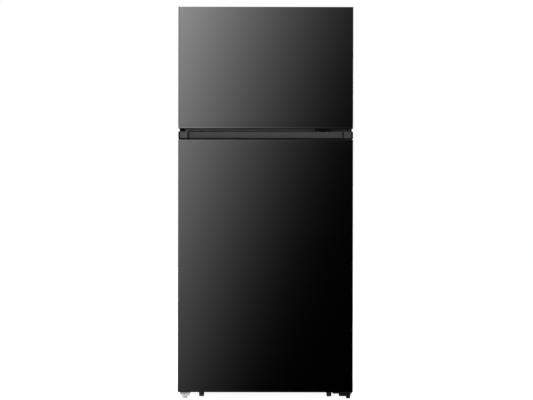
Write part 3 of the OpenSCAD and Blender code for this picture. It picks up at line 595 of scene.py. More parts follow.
def door_panel(node, name, low_hem, high_hem):
    """Folded steel skin: front face, round corners and side returns, with shaped edges at top and bottom."""
    z = span(node)[2]
    levels = [(z[0] + up, dip) for up, dip in low_hem] + [(z[1] - up, dip) for up, dip in reversed(high_hem)]

    def across(inset):
        r = CORNER - inset
        x0, y0 = DOOR_X - CORNER, FRONT + CORNER
        right = [(DOOR_X - inset, DOOR_BACK - 6.0)]
        turns = [math.radians(-a) for a in range(0, 91, 10)]
        right += [(x0 + r * math.cos(a), y0 + r * math.sin(a)) for a in turns]
        return right + [(-px, py) for px, py in reversed(right)]

    build = Build()
    levels += [(z[1] - 0.1, SKIN), (z[0] + 0.1, SKIN)]
    rings = [[(px, py, level) for px, py in across(dip)] for level, dip in levels]
    build.loft([[ring[k] for ring in rings] for k in range(len(rings[0]))])
    return build.piece(name, BODY_OF[node], "black_stainless", [node], angle=50)


freezer_skin = door_panel("freezer_door_panel", "freezer_skin", FLARED_HEM, PLAIN_HEM)
cut_by(freezer_skin, (310.0, 381.0), (FRONT + 8.0, DOOR_BACK + 1.0), (1676.0, 1701.0))
door_panel("fridge_door_panel", "fridge_skin", PLAIN_HEM, ROLLED_HEM)


def hand_grip():
    """Trims on the lower door's top cap: grey end blocks, the strip between them, and a black lip of painted
    shade.
    """
    top = span("fridge_door_top_cap")[2][1]
    blocks = Build()
    for ends in ((TRIM_X[0], GRIP_X[0]), (GRIP_X[1], TRIM_X[1])):
        blocks.slab(ends, (top - TRIM_DROP, top - 0.02), (FRONT + 1.0, FRONT + 31.0), "y", 1.6, 1.1)
    blocks.piece("grip_end_trims", "fridge_door", "dial_plastic")
    strip = Build()
    strip.slab((GRIP_X[0] + 3.5, GRIP_X[1] - 3.0), (top - STRIP_DROP, top - 0.02),
               (GRIP_BACK - 2.2, GRIP_BACK + 1.5), "y", 1.0, 0.9)
    strip.piece("grip_strip", "fridge_door", "cap_plastic")
    # The black lip is painted shade: it darkens the top of the gap between the doors, which shows shade
    # there.
    lip = Build()
    lip.slab((GRIP_X[0] + 4.0, SHADE_LIP_END), (top - 1.0, top + 2.6),
             (GRIP_BACK - 1.4, GRIP_BACK + 6.0), "y", 1.4, 0.8)
    lip.piece("grip_shade_lip", "fridge_door", "black_plastic")


# The lower door's top cap takes black_plastic in place of its own slot, so that its channel and neck below
# the grey strip show painted shade.
softened("fridge_door_top_cap", 0.6, 2, slot="black_plastic")
hand_grip()

# Half of the seal's section: (distance in from its outer edge, share of its depth)
SEAL_WIDTH = 18.0
SEAL_HALF = [(3.0, 0.0), (2.2, 0.10), (2.6, 0.22), (4.6, 0.30), (5.0, 0.38), (2.6, 0.46), (0.9, 0.56),
             (0.15, 0.68), (0.15, 0.84), (0.9, 0.96), (2.2, 1.0)]
SEAL = SEAL_HALF + [(9.0, 0.985)] + [(SEAL_WIDTH - inset, share) for inset, share in reversed(SEAL_HALF)]


def gasket(node):
    """Magnetic seal: dart, bellows and a round-edged magnet pocket, swept round the door."""
    x, y, z = span(node)
    build = Build()
    rings = []
    for inset, share in SEAL:
        level = y[0] + share * (y[1] - y[0])
        wide, high = ((low + inset, top - inset) for low, top in (x, z))
        rings.append([(px, level, pz) for px, pz in rounded_outline(wide, high, 12 - inset / 3)])
    build.loft(rings, wrap=True)
    build.piece(node + "_bellows", BODY_OF[node], "gasket_rubber", [node], angle=60)


gasket("freezer_door_gasket")
gasket("fridge_door_gasket")


def door_liner(node, ring_x, ring_z, bins):
    """Vacuum-formed inner door: a soft raised ring round a shallow pocket, lugs for the bins, edge strips."""
    x, y, z = span(node)
    crown, pocket, wall, soft = y[1], DOOR_BACK + 12.0, 28.0, 8.0

    def section(inset, depth, r):
        wide, high = (-ring_x + inset, ring_x - inset), (ring_z[0] + inset, ring_z[1] - inset)
        return [(px, depth, pz) for px, pz in rounded_outline(wide, high, r)]

    def flange(inset, depth):
        return [(px, depth, pz) for px, pz in rounded_outline(x, z, 8, inset)]

    def face(lift):
        """Rings from the flange to the middle of the pocket; lift moves the sheet back by its thickness."""
        rings = [section(-5.0 - lift, DOOR_BACK - lift, 20), section(-1.5, DOOR_BACK + 1.2 - lift, 17)]
        rings.append(section(lift, DOOR_BACK + 5.0, 16 - lift))
        r, foot, outer, top, floor = soft - lift, 9.0 + lift, wall - lift, crown - lift, pocket - lift
        rings += [section(lift + r * c, top - r * s, 16 - lift) for c, s in quarter(5)]
        rings += [section(outer - r * s, top - r * c, 12 + lift) for c, s in quarter(5)]
        rings += [section(outer + foot * c, floor + foot * s, 12 + lift) for c, s in quarter(5)]
        return rings

    build, edges = Build(), Build()
    rim = ((0.5, 0.0), (0.0, 0.5), (0.0, 1.5), (0.5, 2.0))
    build.loft(face(0.0)[::-1] + [flange(inset, DOOR_BACK - drop) for inset, drop in rim] + face(2.0))
    edge = [(372.0, 0.3), (374.5, 1.0), (377.6, 4.2), (378.4, 6.0), (378.4, 9.0), (372.0, 9.0)]
    lug = (DOOR_BACK + 20.0, DOOR_BACK + 58.0)
    for side in (-1, 1):
        inner = side * (ring_x - wall)
        ends = sorted((inner - side * 6.0, inner + side * 1.0))
        for height in bins:
            build.slab(ends, lug, (height - 10.0, height - 0.2), "z", 2.5, 1.5)
        edges.prism([(side * px, DOOR_BACK - drop) for px, drop in edge], (z[0] + 6.0, z[1] - 6.0))
    build.piece(node + "_formed", BODY_OF[node], "white_liner", [node], angle=40)
    edges.piece(node + "_edge_strips", BODY_OF[node], "black_plastic")


door_liner("freezer_door_liner", 312.0, (1218.0, 1608.0), FREEZER_BINS)
door_liner("fridge_door_liner", 322.0, (110.0, 1110.0), FRIDGE_BINS)


def tray(build, x, y, z, corner, wall, lip_at, draft=0.0, floor_r=6.0, lip=1.6):
    """Open box with a rounded foot and a rolled lip; lip_at(x, y) gives the height of its rim."""

    def ring(inset, level):
        return [(px, py, level) for px, py in rounded_outline(x, y, corner, inset)]

    def rim_ring(inset, drop):
        return [(px, py, lip_at(px, py) - drop) for px, py in rounded_outline(x, y, corner, inset)]

    neck = draft * 0.3 + lip
    inner_r = max(floor_r - wall, 1.0)
    rings = [ring(draft + floor_r * s, z[0] + floor_r * c) for c, s in quarter(4)]
    for inset, drop in (
        (neck, 6.0), (lip * 0.9, 4.6), (0.0, 3.8), (0.0, 0.9), (0.7, 0.0),
        (lip + wall - 0.7, 0.0), (lip + wall, 0.9), (neck + wall, 6.0),
    ):
        rings.append(rim_ring(inset, drop))
    rings += [ring(draft + wall + inner_r * s, z[0] + wall + inner_r * c) for c, s in reversed(quarter(4))]
    build.loft(rings)


def door_bin(build, x, y, z):
    """Clear bin whose rim dips towards the middle of its outer wall, with ribs moulded under it."""

    def rim(px, py):
        along = min(max((py - (y[0] + 14.0)) / 16.0, 0.0), 1.0)
        return z[1] - 18.0 * along * along * (3 - 2 * along)

    tray(build, x, y, z, 10.0, 2.2, rim, 2.0)
    for share in (0.30, 0.36, 0.42):
        level = z[0] + share * (z[1] - z[0])
        build.slab((x[0] + 16, x[1] - 16), (level, level + 2.0), (y[1] - 3.2, y[1] - 0.6), "y", 0.9, 0.6)


def bins():
    """The freezer door's two bins as one piece, and the fridge door's three."""
    upper = Build()
    x, y, z = span("freezer_door_bins")
    for low in FREEZER_BINS:
        door_bin(upper, x, y, (low, low + BIN_HEIGHT))
    upper.piece("freezer_bins", "freezer_door", "clear_plastic", ["freezer_door_bins"], angle=50)
    for node in ("fridge_bin_upper", "fridge_bin_middle", "fridge_bin_lower"):
        build = Build()
        door_bin(build, *span(node))
        build.piece(node + "_clear", "fridge_door", "clear_plastic", [node], angle=50)


bins()
for node in ("freezer_door_top_cap", "freezer_door_bottom_cap", "fridge_door_bottom_cap"):
    softened(node, 0.8, 2, slot="black_plastic")


# ---------- cabinet ----------

LINER_MOUTH_Y = -290 * MM
LONG_EDGE = 250 * MM


def wide_radius(e):
    """A long edge well inside a compartment, where the formed liner has wide radii."""
    return all(v.co.y > LINER_MOUTH_Y for v in e.verts) and e.calc_length() > LONG_EDGE


softened("freezer_liner", 0.5, 2, big=[(9.0, 4, wide_radius)])
softened("fridge_liner", 0.5, 2, big=[(9.0, 4, wide_radius)])
for node, width, segments in (
    ("cabinet_shell", 0.35, 2), ("mullion_rail", 0.5, 2), ("top_hinge", 0.5, 2),
    ("top_hinge_cover", 1.0, 3), ("centre_hinge", 0.5, 2), ("bottom_hinge", 0.6, 2),
    ("left_foot_bracket", 0.5, 2), ("floor_pan", 0.3, 1), ("air_tower", 1.0, 2),
    ("evaporator_cover", 0.8, 2), ("shelf_frames", 1.6, 3), ("crisper_cover_frame", 1.0, 2),
    ("shelf_glass", 0.6, 2), ("control_housing", 1.2, 3), ("lamp_covers", 2.0, 3),
    ("airflow_slider", 0.7, 2), ("compressor_base", 0.4, 1), ("condenser_fan_motor", 0.6, 2),
    ("evaporator_fan_motor", 0.6, 2), ("machine_cover", 0.3, 1),
):
    softened(node, width, segments)


# ---------- fittings ----------

def cross(angle, length=2.7, half=0.55):
    """Radius of a plus-shaped recess at an angle."""
    off = abs((angle + math.pi / 4) % (math.pi / 2) - math.pi / 4)
    return min(length / math.cos(off), half / max(math.sin(off), 1e-6))


def screw(build, place, axis, forward, head=6.0, rise=1.8, shank=3.0, length=8.0):
    """Washer-head screw; radius 0 stands for its cross recess, and forward is +1 or -1 along the axis."""
    profile = [(shank, -length), (shank, 0.0), (head, 0.0), (head, 0.35), (head * 0.97, 0.5),
               (head * 0.66, 0.62), (head * 0.64, rise * 0.8), (head * 0.56, rise), (0.0, rise),
               (0.0, rise - 1.0)]
    build.turned([(r, forward * h) for r, h in profile], place, axis, 40,
                 wave=lambda a, r: r or cross(a, head * 0.4, head * 0.09))


def screws():
    """Screws of the upper, middle and lower hinges, the left foot bracket and the machine cover."""
    build = Build()
    for dx, dy in ((-56, 64), (-4, 64), (-30, 96)):
        screw(build, (HINGE_X + dx, HINGE_Y + dy, 1684), "z", 1)
    for x in (230, 270):
        screw(build, (x, -320, 1157), "y", -1, length=2.8)
    for x in (308, 334, 360, -360, -337):
        screw(build, (x, -321, 46), "y", -1, length=2.8)
    for x in (-355, 0, 355):
        for z in (56, 264):
            screw(build, (x, 386, z), "y", 1, head=5.0, rise=2.0, shank=2.2, length=2.0)
    build.piece("screws_cross", "cabinet", "screw_steel", ["screws"])


def levelling_foot(name, node, slot, pad_r, disc_r, disc, top):
    """Pad, grip disc with a notched rim and a threaded stud."""
    x, y, _ = node_centre(node)
    centre = (x, y, 0)
    notches = 18 if disc_r > 15 else 12

    def rim(angle, radius):
        return radius - (0.5 * (1 + math.cos(notches * angle)) if radius >= disc_r - 1.0 else 0.0)

    build = Build()
    build.turned([(pad_r * 0.5, 0.0), (pad_r - 1.4, 0.0), (pad_r - 0.3, 0.5), (pad_r, 1.6),
                  (pad_r, disc[0] * 0.55), (pad_r * 0.82, disc[0] * 0.75), (pad_r * 0.74, disc[0] + 0.1)],
                 centre)
    build.turned([(disc_r * 0.5, disc[0]), (disc_r - 1.2, disc[0]), (disc_r, disc[0] + 0.8),
                  (disc_r, disc[1] - 0.8), (disc_r - 1.2, disc[1]), (disc_r * 0.5, disc[1])],
                 centre, steps=144, wave=rim)
    pitch = 1.25
    thread = [(3.2, disc[1] - 1.0)]
    level = disc[1] - 0.8
    while level + pitch < top:
        thread += [(3.3, level), (3.9, level + pitch / 2)]
        level += pitch
    thread += [(3.3, top - 0.4), (2.8, top)]
    build.turned(thread, centre)
    build.piece(name, BODY_OF[node], slot, [node], angle=30)


def roller(name, node, radius, width):
    """Wheel with a crowned tread, a groove, dished sides with ribs, and its stub axle."""
    centre = node_centre(node)
    half, stub = width / 2, width / 2 + 4
    side = [(2.5, -stub), (3.0, -stub + 0.5), (3.0, -half), (5.6, -half), (6.2, -half + 0.5),
            (6.6, -half + 1.8), (radius - 4.4, -half + 1.8), (radius - 3.6, -half + 0.4),
            (radius - 3.0, -half), (radius - 1.0, -half), (radius - 0.2, -half + 0.9),
            (radius, -half + 2.0), (radius, -2.0), (radius - 0.5, -1.6), (radius - 2.0, -1.3)]
    build = Build()
    build.turned(side + [(r, -h) for r, h in reversed(side)], centre, "x", 64)
    for k in range(6):
        for s in (-1, 1):
            ends = [centre[0] + end for end in sorted((s * (half - 1.9), s * (half - 0.7)))]
            build.slab((centre[1] + 5.0, centre[1] + radius - 3.4), (centre[2] - 0.8, centre[2] + 0.8),
                       ends, "x", 0.3, 0.3, 2, spin=60 * k, centre=centre)
    build.piece(name, BODY_OF[node], "roller_plastic", [node], angle=32)


def roller_brackets():
    """Four forks of folded plate; each cheek has a foot flange that reaches nearly to the floor."""
    build = Build()
    for x, y, axle, half, low in ((279.0, -300.0, 17.0, 6.8, 3.2), (300.0, 345.0, 18.5, 9.8, 9.5)):
        along = (y - 15.0, y + 15.0)
        for side in (-1, 1):
            middle = side * x
            for s in (-1, 1):
                outer = middle + s * (half + 3.6)
                build.slab(along, (low, 39.7), sorted((middle + s * half, outer)), "x", 6.0, 0.7)
                a, b = sorted((outer - s * 0.6, outer + s * 1.0))
                cap = [(1.0, a), (4.4, a), (4.4, b - 0.3), (3.6, b), (1.0, b)]
                build.turned(cap, (0.0, y, axle), "x", 24)
            build.slab((middle - half - 3.0, middle + half + 3.0), along, (37.4, 39.8), "z", 2.0, 0.6)
    build.piece("roller_forks", "cabinet", "hinge_black", ["roller_brackets"])


def raised_field(build, u, v, base, height, slope, corner=20.0):
    """Flat field pressed out of a rear sheet, with a soft slope all round."""
    steps = 6
    rings = [[placed("y", *p, base - 0.6) for p in rounded_outline(u, v, corner)]]
    for k in range(steps + 1):
        share = k / steps
        level = base + height * share * share * (3 - 2 * share)
        rings.append([placed("y", *p, level) for p in rounded_outline(u, v, corner, slope * share)])
    build.loft(rings)


def fan(name, node, slot, axis, forward, hub_r, tip_r, bore_r, width, blades):
    """Wheel with a domed hub and curved, twisted blades."""
    middle = node_centre(node)
    build = Build()
    half = width / 2

    def spot(radius, a, level):
        at = placed(axis, radius * math.cos(a), radius * math.sin(a), forward * level)
        return Vector(at) + Vector(middle)

    hub = [(bore_r, -half), (hub_r - 0.6, -half), (hub_r, -half + 0.6), (hub_r, half - 3.0),
           (hub_r * 0.93, half - 1.2), (hub_r * 0.72, half), (hub_r * 0.3, half), (bore_r, half - 0.5),
           (bore_r, -half + 0.01)]
    build.turned([(radius, forward * level) for radius, level in hub], middle, axis, wrap=True)
    stations, outline = 8, 9
    for blade in range(blades):
        rings = []
        for i in range(stations + 1):
            share = i / stations
            radius = hub_r - 1.5 + (tip_r - hub_r + 1.5) * share
            sweep = 0.35 * share * share
            reach = (0.78 - 0.16 * share) * 2 * math.pi / blades
            if i == stations:
                reach *= 0.86
            lift = (width - 3.0) * (1.0 - 0.30 * share)
            upper, lower = [], []
            for k in range(outline + 1):
                s = k / outline
                a = 2 * math.pi * blade / blades + sweep + reach * (s - 0.5)
                camber = 0.16 * lift * math.sin(math.pi * s)
                thick = 0.9 * math.sin(math.pi * min(max(s, 0.06), 0.94)) ** 0.5
                level = lift * (s - 0.5) + camber - 0.08 * lift
                upper.append(spot(radius, a, level + thick))
                lower.append(spot(radius, a, level - thick))
            rings.append(upper + lower[::-1])
        build.loft(rings)
    build.piece(name, BODY_OF[node], slot, [node], angle=50)


def controls():
    """Dial with a notched rim and a grip bar, a white mark on it, and ticks and vents on the housing."""
    x, z, face = -50.0, 1104.0, -150.0

    def notched(angle, radius):
        return radius - (0.25 * (1 + math.cos(36 * angle)) if 12.8 < radius else 0.0)

    dial = Build()
    dial.turned([(4.0, 11.0), (4.0, -0.4), (12.6, -0.4), (13.0, -0.9), (13.0, -8.5), (12.2, -10.4),
                 (10.6, -11.4), (9.4, -11.2), (8.0, -10.8)], (x, face, z), "y", 144, wave=notched)
    dial.slab((x - 2.5, x + 2.5), (z - 11.0, z + 11.0), (face - 17.0, face - 10.0), "y", 2.4, 1.2, 4)
    dial.piece("dial_knob", "temperature_dial", "dial_plastic", ["temperature_dial"], angle=40)
    mark = Build()
    mark.slab((x - 0.7, x + 0.7), (z + 3.0, z + 10.0), (face - 17.3, face - 16.5), "y", 0.6, 0.15, 2)
    mark.piece("dial_mark", "temperature_dial", "white_plastic")
    ticks = Build()
    for k in range(9):
        spin = -135 + k * 270 / 8
        long = 2.4 if k % 4 == 0 else 1.6
        ticks.slab((x - 0.45, x + 0.45), (z + 14.2, z + 14.2 + long), (face - 0.3, face + 0.5),
                   "y", 0.4, 0.12, 2, spin=spin, centre=(x, face, z))
    for k in range(5):
        ticks.slab((18.0, 98.0), (1094.0 + 5.0 * k, 1096.4 + 5.0 * k), (face - 0.25, face + 0.6),
                   "y", 1.1, 0.2, 2)
    ticks.piece("control_marks", "cabinet", "dial_plastic")


def crisper(node, name, low_x, high_x):
    """Clear drawer: tapered tray, front with a hand notch, a lip under it and ribs."""
    x, y, z = (low_x, high_x), (-184.0, 132.0), (104.3, 332.0)
    build = Build()
    tray(build, x, y, z, 12.0, 2.5, lambda px, py: z[1], 3.0, 8.0, 2.5)
    middle = (low_x + high_x) / 2
    top, notch, depth, r = 336.0, 55.0, 310.0, 8.0
    outline = []
    for cu, cv, first, last, radius in (
        (high_x - 6, top - 6, 0, 90, 6), (middle + notch + 5, top - 5, 90, 180, 5),
        (middle + notch - r, depth + r, 0, -90, r), (middle - notch + r, depth + r, -90, -180, r),
        (middle - notch - 5, top - 5, 0, 90, 5), (low_x + 6, top - 6, 90, 180, 6),
        (low_x + 6, z[0] + 6, 180, 270, 6), (high_x - 6, z[0] + 6, 270, 360, 6),
    ):
        turns = [math.radians(first + (last - first) * k / 6) for k in range(7)]
        outline += [(cu + radius * math.cos(a), cv + radius * math.sin(a)) for a in turns]
    front = Build()
    front.prism(outline, (-190.0, -183.2), "y")
    rounded_off(front.bm, sharp_edges(front.bm, 40), 1.5, 3)
    mesh = mesh_of("front", front.bm)
    build.bm.from_mesh(mesh)
    bpy.data.meshes.remove(mesh)
    build.slab((middle - 58.0, middle + 58.0), (depth - 7.0, depth - 1.5), (-194.5, -189.0), "y", 2.6, 1.6)
    for k in range(4):
        level = 150.0 + 30.0 * k
        build.slab((low_x + 24.0, high_x - 24.0), (level, level + 3.0), (-191.0, -189.4), "y", 1.4, 0.8)
    build.piece(name, BODY_OF[node], "clear_plastic", [node], angle=45)


def wire_shelf():
    """White coated wires over four cross rods, turned down at the front."""
    build = Build()
    z, low, high = 1400.0, -190.0, 233.0
    for y in (low + 3.0, -50.0, 90.0, high - 3.0):
        build.tube([(-315.0, y, z - 3.0), (315.0, y, z - 3.0)], 3.0, 16)
    for k in range(-12, 13):
        route = [(k * 25.0, high, z + 1.5), (k * 25.0, low + 2.0, z + 1.5), (k * 25.0, low - 2.0, z - 6.0)]
        build.tube(eased(route, 5.0, 6), 2.0, 12)
    build.tube([(-315.0, low - 2.4, z - 7.5), (315.0, low - 2.4, z - 7.5)], 2.6, 14)
    build.piece("wire_shelf_coated", "cabinet", "white_wire", ["freezer_wire_shelf"], angle=50)


def compressor():
    """Domed shell with its seam and terminal box, on a foot plate with four rubber bushes."""
    x, y, foot = -235.0, 290.0, 56.0
    shell = Build()
    dome = [(24.0, 3.0), (58.0, 3.0), (64.0, 5.0), (66.0, 10.0), (66.0, 72.0), (68.4, 73.0), (68.4, 77.0),
            (66.0, 78.0)]
    dome += [(30.0 + 36.0 * math.cos(math.radians(a)), 123.0 + 36.0 * math.sin(math.radians(a)))
             for a in range(0, 91, 10)]
    dome += [(14.0, 159.0), (12.0, 160.0), (2.0, 160.0)]
    shell.turned(dome, (x, y, foot), steps=72)
    shell.slab((x - 92, x + 92), (y - 70, y + 70), (foot, foot + 3.0), "z", 12.0, 0.8)
    shell.slab((x + 60, x + 98), (y - 26, y + 26), (foot + 30.0, foot + 100.0), "z", 5.0, 3.0)
    for spot in (-78, 78):
        for side in (-56, 56):
            shell.turned([(3.0, -14.0), (9.0, -14.0), (10.0, -12.8), (10.0, -9.0), (7.6, -8.0), (7.6, -6.0),
                          (10.0, -5.0), (10.0, -0.8), (9.2, 0.1), (9.2, 4.2), (7.0, 5.0), (3.0, 5.0)],
                         (x + spot, y + side, foot))
    shell.piece("compressor_shell", "cabinet", "black_paint", ["compressor"])


def condenser():
    """Tube in three layers of six passes, with upright wires on both sides of each layer."""
    levels = [210.0 - 24.0 * k for k in range(6)]
    layers = (235.0, 290.0, 345.0)
    ends = (-95.0, 100.0)
    route = []
    for layer, depth in enumerate(layers):
        for k in range(6):
            level = levels[k if layer % 2 == 0 else 5 - k]
            first = (k + layer * 6) % 2
            route += [(ends[first], depth, level), (ends[1 - first], depth, level)]
    coil = Build()
    coil.tube(eased(route, 9.0, 4), 3.2, 12)
    for depth in layers:
        for k in range(-5, 7):
            for side in (-4.2, 4.2):
                coil.tube([(k * 13.0 - 3.0, depth + side, level) for level in (84.0, 216.0)], 1.0, 8)
    coil.piece("condenser_wires", "cabinet", "black_tube", ["condenser_coil"], angle=50)


def lines_and_pan():
    """Copper lines with the filter drier, and the drain pan under the condenser."""
    lines = Build()
    for path, r, radius in (
        ([(-162, 290, 190), (-120, 290, 190), (-120, 290, 236), (-120, 235, 236), (-120, 235, 210),
          (-98.5, 235, 210)], 9, 3.0),
        ([(-286, 345, 175), (-286, 366, 175), (-286, 366, 269.5)], 9, 3.5),
        ([(103.5, 345, 90), (124, 345, 90), (124, 345, 110), (124, 372, 110), (124, 372, 269.5)], 7, 3.0),
    ):
        lines.tube(eased(path, r, 5), radius, 16)
    lines.turned([(3.0, 96.0), (3.0, 108.0), (4.5, 112.0), (8.2, 118.0), (9.0, 123.0), (9.0, 188.0),
                  (8.2, 193.0), (4.5, 199.0), (3.0, 203.0), (3.0, 269.4)], (128.0, 215.0, 0.0), steps=32)
    lines.piece("copper_lines", "cabinet", "copper_tube", ["refrigerant_lines"], angle=50)

    pan = Build()
    tray(pan, (-108.0, 112.0), (204.0, 376.0), (42.0, 70.0), 10.0, 2.0, lambda px, py: 70.0, 1.0, 4.0, 1.6)
    pan.piece("drain_pan_rolled", "cabinet", "black_plastic", ["drain_pan"], angle=45)


def cabinet_sheet():
    """Pressed fields on the back, the front sill, hoods on the air slots, and plugs in unused holes."""
    beads = Build()
    for k in range(4):
        low = 372.0 + 306.0 * k
        raised_field(beads, (-318.0, 318.0), (low, low + 262.0), 387.58, 1.35, 16.0)
        middle = low + 131.0
        for left in (-260.0, 40.0):
            raised_field(beads, (left, left + 220.0), (middle - 14.0, middle + 14.0), 388.9, 0.08, 6.0, 13.0)
    beads.piece("back_beads", "cabinet", "galvanised_sheet")
    sill = Build()
    sill.slab((-356.0, 356.0), (40.1, 44.6), (-316.9, -314.3), "y", 0.8, 0.5)
    sill.piece("front_sill", "cabinet", "cabinet_paint")
    hoods = Build()
    for k in range(18):
        for level in (90.0, 160.0):
            left = k * 28.0 - 218.0
            hoods.slab((left + 6.4, left + 10.0), (level + 1.0, level + 49.0), (385.4, 387.8), "y", 1.6, 1.4)
    hoods.piece("slot_hoods", "cabinet", "cover_board")
    plugs = Build()
    for x, z in ((-250.0, 330.0), (250.0, 330.0), (-250.0, 1620.0), (250.0, 1620.0)):
        plugs.turned([(4.0, 0.0), (13.0, 0.0), (14.0, 0.4), (13.4, 1.0), (10.0, 1.2), (9.0, 0.7), (4.0, 0.7)],
                     (x, 387.3, z), "y", 40)
    for x, y in ((-302.0, -295.0), (-354.0, -295.0), (-328.0, -263.0)):
        plugs.turned([(2.0, -1.0), (6.6, -1.0), (7.0, 0.2), (6.2, 1.2), (2.0, 1.5)], (x, y, 1672.0), "z", 32)
    plugs.slab((-373.0, -352.0), (1156.0, 1173.0), (-320.4, -316.5), "y", 3.0, 1.2)
    plugs.piece("hole_plugs", "cabinet", "black_plastic")


def compartment_ribs():
    """Ribs on both lamp lenses and on the evaporator cover, with the ring round its fan opening."""
    lens = Build()
    for count, y, z in ((6, (56.0, 108.0), (1111.2, 1113.0)), (4, (-117.0, -73.0), (1607.2, 1609.0))):
        for k in range(-count, count + 1):
            lens.slab((k * 8.4 - 1.8, k * 8.4 + 1.8), y, z, "z", 1.7, 0.8)
    lens.piece("lens_ribs", "cabinet", "lamp_lens")
    rim = Build()
    ring = [(56.5, 0.5), (56.5, -1.6), (57.6, -2.4), (60.4, -2.4), (61.5, -1.6), (61.5, 0.5)]
    turns = [2 * math.pi * k / 96 for k in range(96)]
    rim.loft([[(r * math.cos(a), 243.0 + h, 1515.0 + r * math.sin(a)) for a in turns] for r, h in ring],
             wrap=True)
    for k in range(-14, 15):
        if abs(k) > 4:
            rim.slab((k * 21.0 - 1.6, k * 21.0 + 1.6), (1260.0, 1590.0), (241.8, 243.6), "y", 1.5, 0.9)
    rim.piece("evaporator_cover_ribs", "cabinet", "white_plastic")


screws()
levelling_foot("left_foot_turned", "left_levelling_foot", "zinc_plate", 12.0, 21.0, (11.0, 19.6), 25.5)
levelling_foot("right_foot_turned", "right_levelling_foot", "black_plastic", 10.0, 10.0, (6.0, 9.6), 24.5)
roller_brackets()
for end, radius, width in (("front", 16.0, 12.0), ("rear", 18.5, 18.0)):
    for side in ("left", "right"):
        roller(f"{end}_{side}_wheel", f"{end}_{side}_roller", radius, width)
fan("evaporator_blades", "evaporator_fan", "white_plastic", "y", -1, 14.0, 52.0, 2.55, 15.0, 6)
fan("condenser_blades", "condenser_fan", "black_plastic", "x", 1, 20.0, 72.0, 3.05, 18.0, 5)
controls()
crisper("crisper_left", "crisper_left_clear", -314.0, -6.0)
crisper("crisper_right", "crisper_right_clear", 6.0, 314.0)
wire_shelf()
compressor()
condenser()
lines_and_pan()
cabinet_sheet()
compartment_ribs()
softened("cord_gland", 0.8, 2)

# ---------- studio ----------

WHITE = (1, 1, 1, 1)


def area_light(name, place, turn, size, power, glossy=False, diffuse=True):
    """Rectangular light that only the object sees."""
    data = bpy.data.lights.new(name, "AREA")
    data.shape = "RECTANGLE"
    data.size, data.size_y = size
    data.energy = power
    light = added(name, data)
    light.location = place
    light.rotation_euler = [math.radians(a) for a in turn]
    light.visible_camera = False
    light.visible_glossy = glossy
    light.visible_diffuse = diffuse
    light.visible_transmission = False
    return data


# The key light fades along a line at KEY_TURN radians across its face, from 1 to 0 over KEY_SPAN
KEY_PLACE = (-0.011, -1.55, 1.362)
KEY_SIZE = (1.474, 3.137)
KEY_TURN = 2.47
KEY_START = -0.328
KEY_SPAN = 0.86
KEY_POWER = 2.5
KEY_RADIANCE = 2.02


def key_light():
    """Tall soft box in front of the doors, bright at its upper left and fading to the lower right."""
    power = KEY_SIZE[0] * KEY_SIZE[1] * math.pi * KEY_RADIANCE
    net = Net(area_light("key", KEY_PLACE, (90, 0, 0), KEY_SIZE, power, glossy=True, diffuse=False))
    split = net.node("SeparateXYZ")
    net.link(net.node("NewGeometry").outputs["Parametric"], split.inputs[0])

    def worked(operation, a, b):
        made = net.node("Math", operation=operation)
        for socket, value in zip(made.inputs, (a, b)):
            if isinstance(value, float):
                socket.default_value = value
            else:
                net.link(value, socket)
        return made.outputs[0]

    across = worked("SUBTRACT", split.outputs["X"], 0.5)
    up = worked("SUBTRACT", split.outputs["Y"], 0.5)
    along = worked("ADD", worked("MULTIPLY", across, math.cos(KEY_TURN)),
                   worked("MULTIPLY", up, math.sin(KEY_TURN)))
    share = worked("DIVIDE", worked("SUBTRACT", along, KEY_START), KEY_SPAN)
    held = worked("MINIMUM", worked("MAXIMUM", share, 0.0), 1.0)
    net.link(worked("POWER", held, KEY_POWER), net.tree.nodes["Emission"].inputs["Strength"])


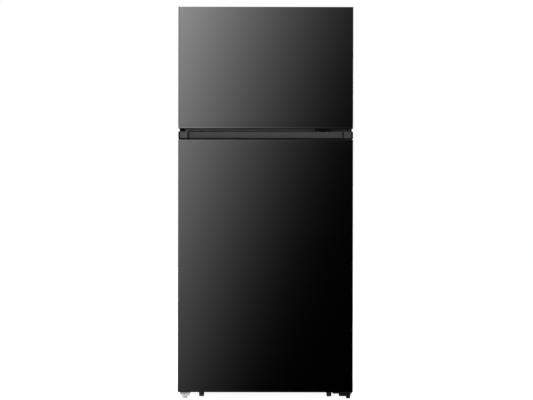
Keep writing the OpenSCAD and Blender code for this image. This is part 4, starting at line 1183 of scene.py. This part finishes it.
def world_light():
    """White behind the object, soft light on plastics, and dark in front of the glossy doors."""
    world = bpy.data.worlds.new("studio")
    bpy.context.scene.world = world
    net = Net(world)
    net.tree.nodes.clear()
    ways = net.node("LightPath")
    split = net.node("SeparateXYZ")
    net.link(net.node("TexCoord").outputs["Generated"], split.inputs[0])

    def background(strength=1.0):
        made = net.node("Background")
        made.inputs["Color"].default_value = WHITE
        made.inputs["Strength"].default_value = strength
        return made

    def mixed(factor, a, b):
        made = net.node("MixShader")
        for source, socket in zip((factor, a, b), made.inputs):
            net.link(source, socket)
        return made.outputs[0]

    shine = background()
    behind = net.ranged(split.outputs["Y"], 0.0, 0.45, -0.2, 0.3, interpolation_type="SMOOTHSTEP")
    net.link(behind, shine.inputs["Strength"])
    lit = mixed(ways.outputs["Is Diffuse Ray"], shine.outputs[0], background(0.40).outputs[0])
    seen = mixed(ways.outputs["Is Camera Ray"], lit, background().outputs[0])
    net.link(seen, net.node("OutputWorld").inputs["Surface"])


def studio_floor():
    """Plain pale floor that glows a little, so that it stays nearly white under the object."""
    g = Graph("studio_floor")
    g.colour(g.noise(3.0), grey(0.60), grey(0.62))
    g.gloss(g.noise(8.0), 0.75, 0.85)
    g.bump(g.noise(60.0), 0.05 * MM)
    g.set(Emission_Color=WHITE, Emission_Strength=0.88)
    bm = bmesh.new()
    bmesh.ops.create_grid(bm, x_segments=4, y_segments=4, size=14.0)
    floor = added("studio_floor", mesh_of("studio_floor", bm))
    floor.data.materials.append(g.material)
    floor.visible_glossy = False


CAMERA_LENS = 116.88
CAMERA_PLACE = (0.004, -7.889, 0.8626)
CAMERA_TURN = (90, -0.1, 0)


def camera():
    """Long lens, square to the doors and level with the middle of the object."""
    data = bpy.data.cameras.new("camera")
    data.lens = CAMERA_LENS
    data.sensor_width = 36
    cam = added("camera", data)
    cam.location = CAMERA_PLACE
    cam.rotation_euler = [math.radians(a) for a in CAMERA_TURN]
    bpy.context.scene.camera = cam


camera()
key_light()
area_light("fill", (-1.2, -6.2, 1.5), (90, 0, -11), (2.4, 2.2), 138)
area_light("overhead", (0, 0.2, 4.6), (0, 0, 0), (5.0, 5.0), 120)
area_light("left_side", (-3.6, 1.6, 1.5), (90, 0, -90), (3.0, 2.6), 60, glossy=True)
area_light("right_side", (3.6, 1.6, 1.5), (90, 0, 90), (3.0, 2.6), 60, glossy=True)
area_light("rear", (0, 4.6, 1.8), (90, 0, 180), (3.4, 2.6), 62, glossy=True)
world_light()
studio_floor()
view = bpy.context.scene.view_settings
view.view_transform = "Standard"
view.look = "None"
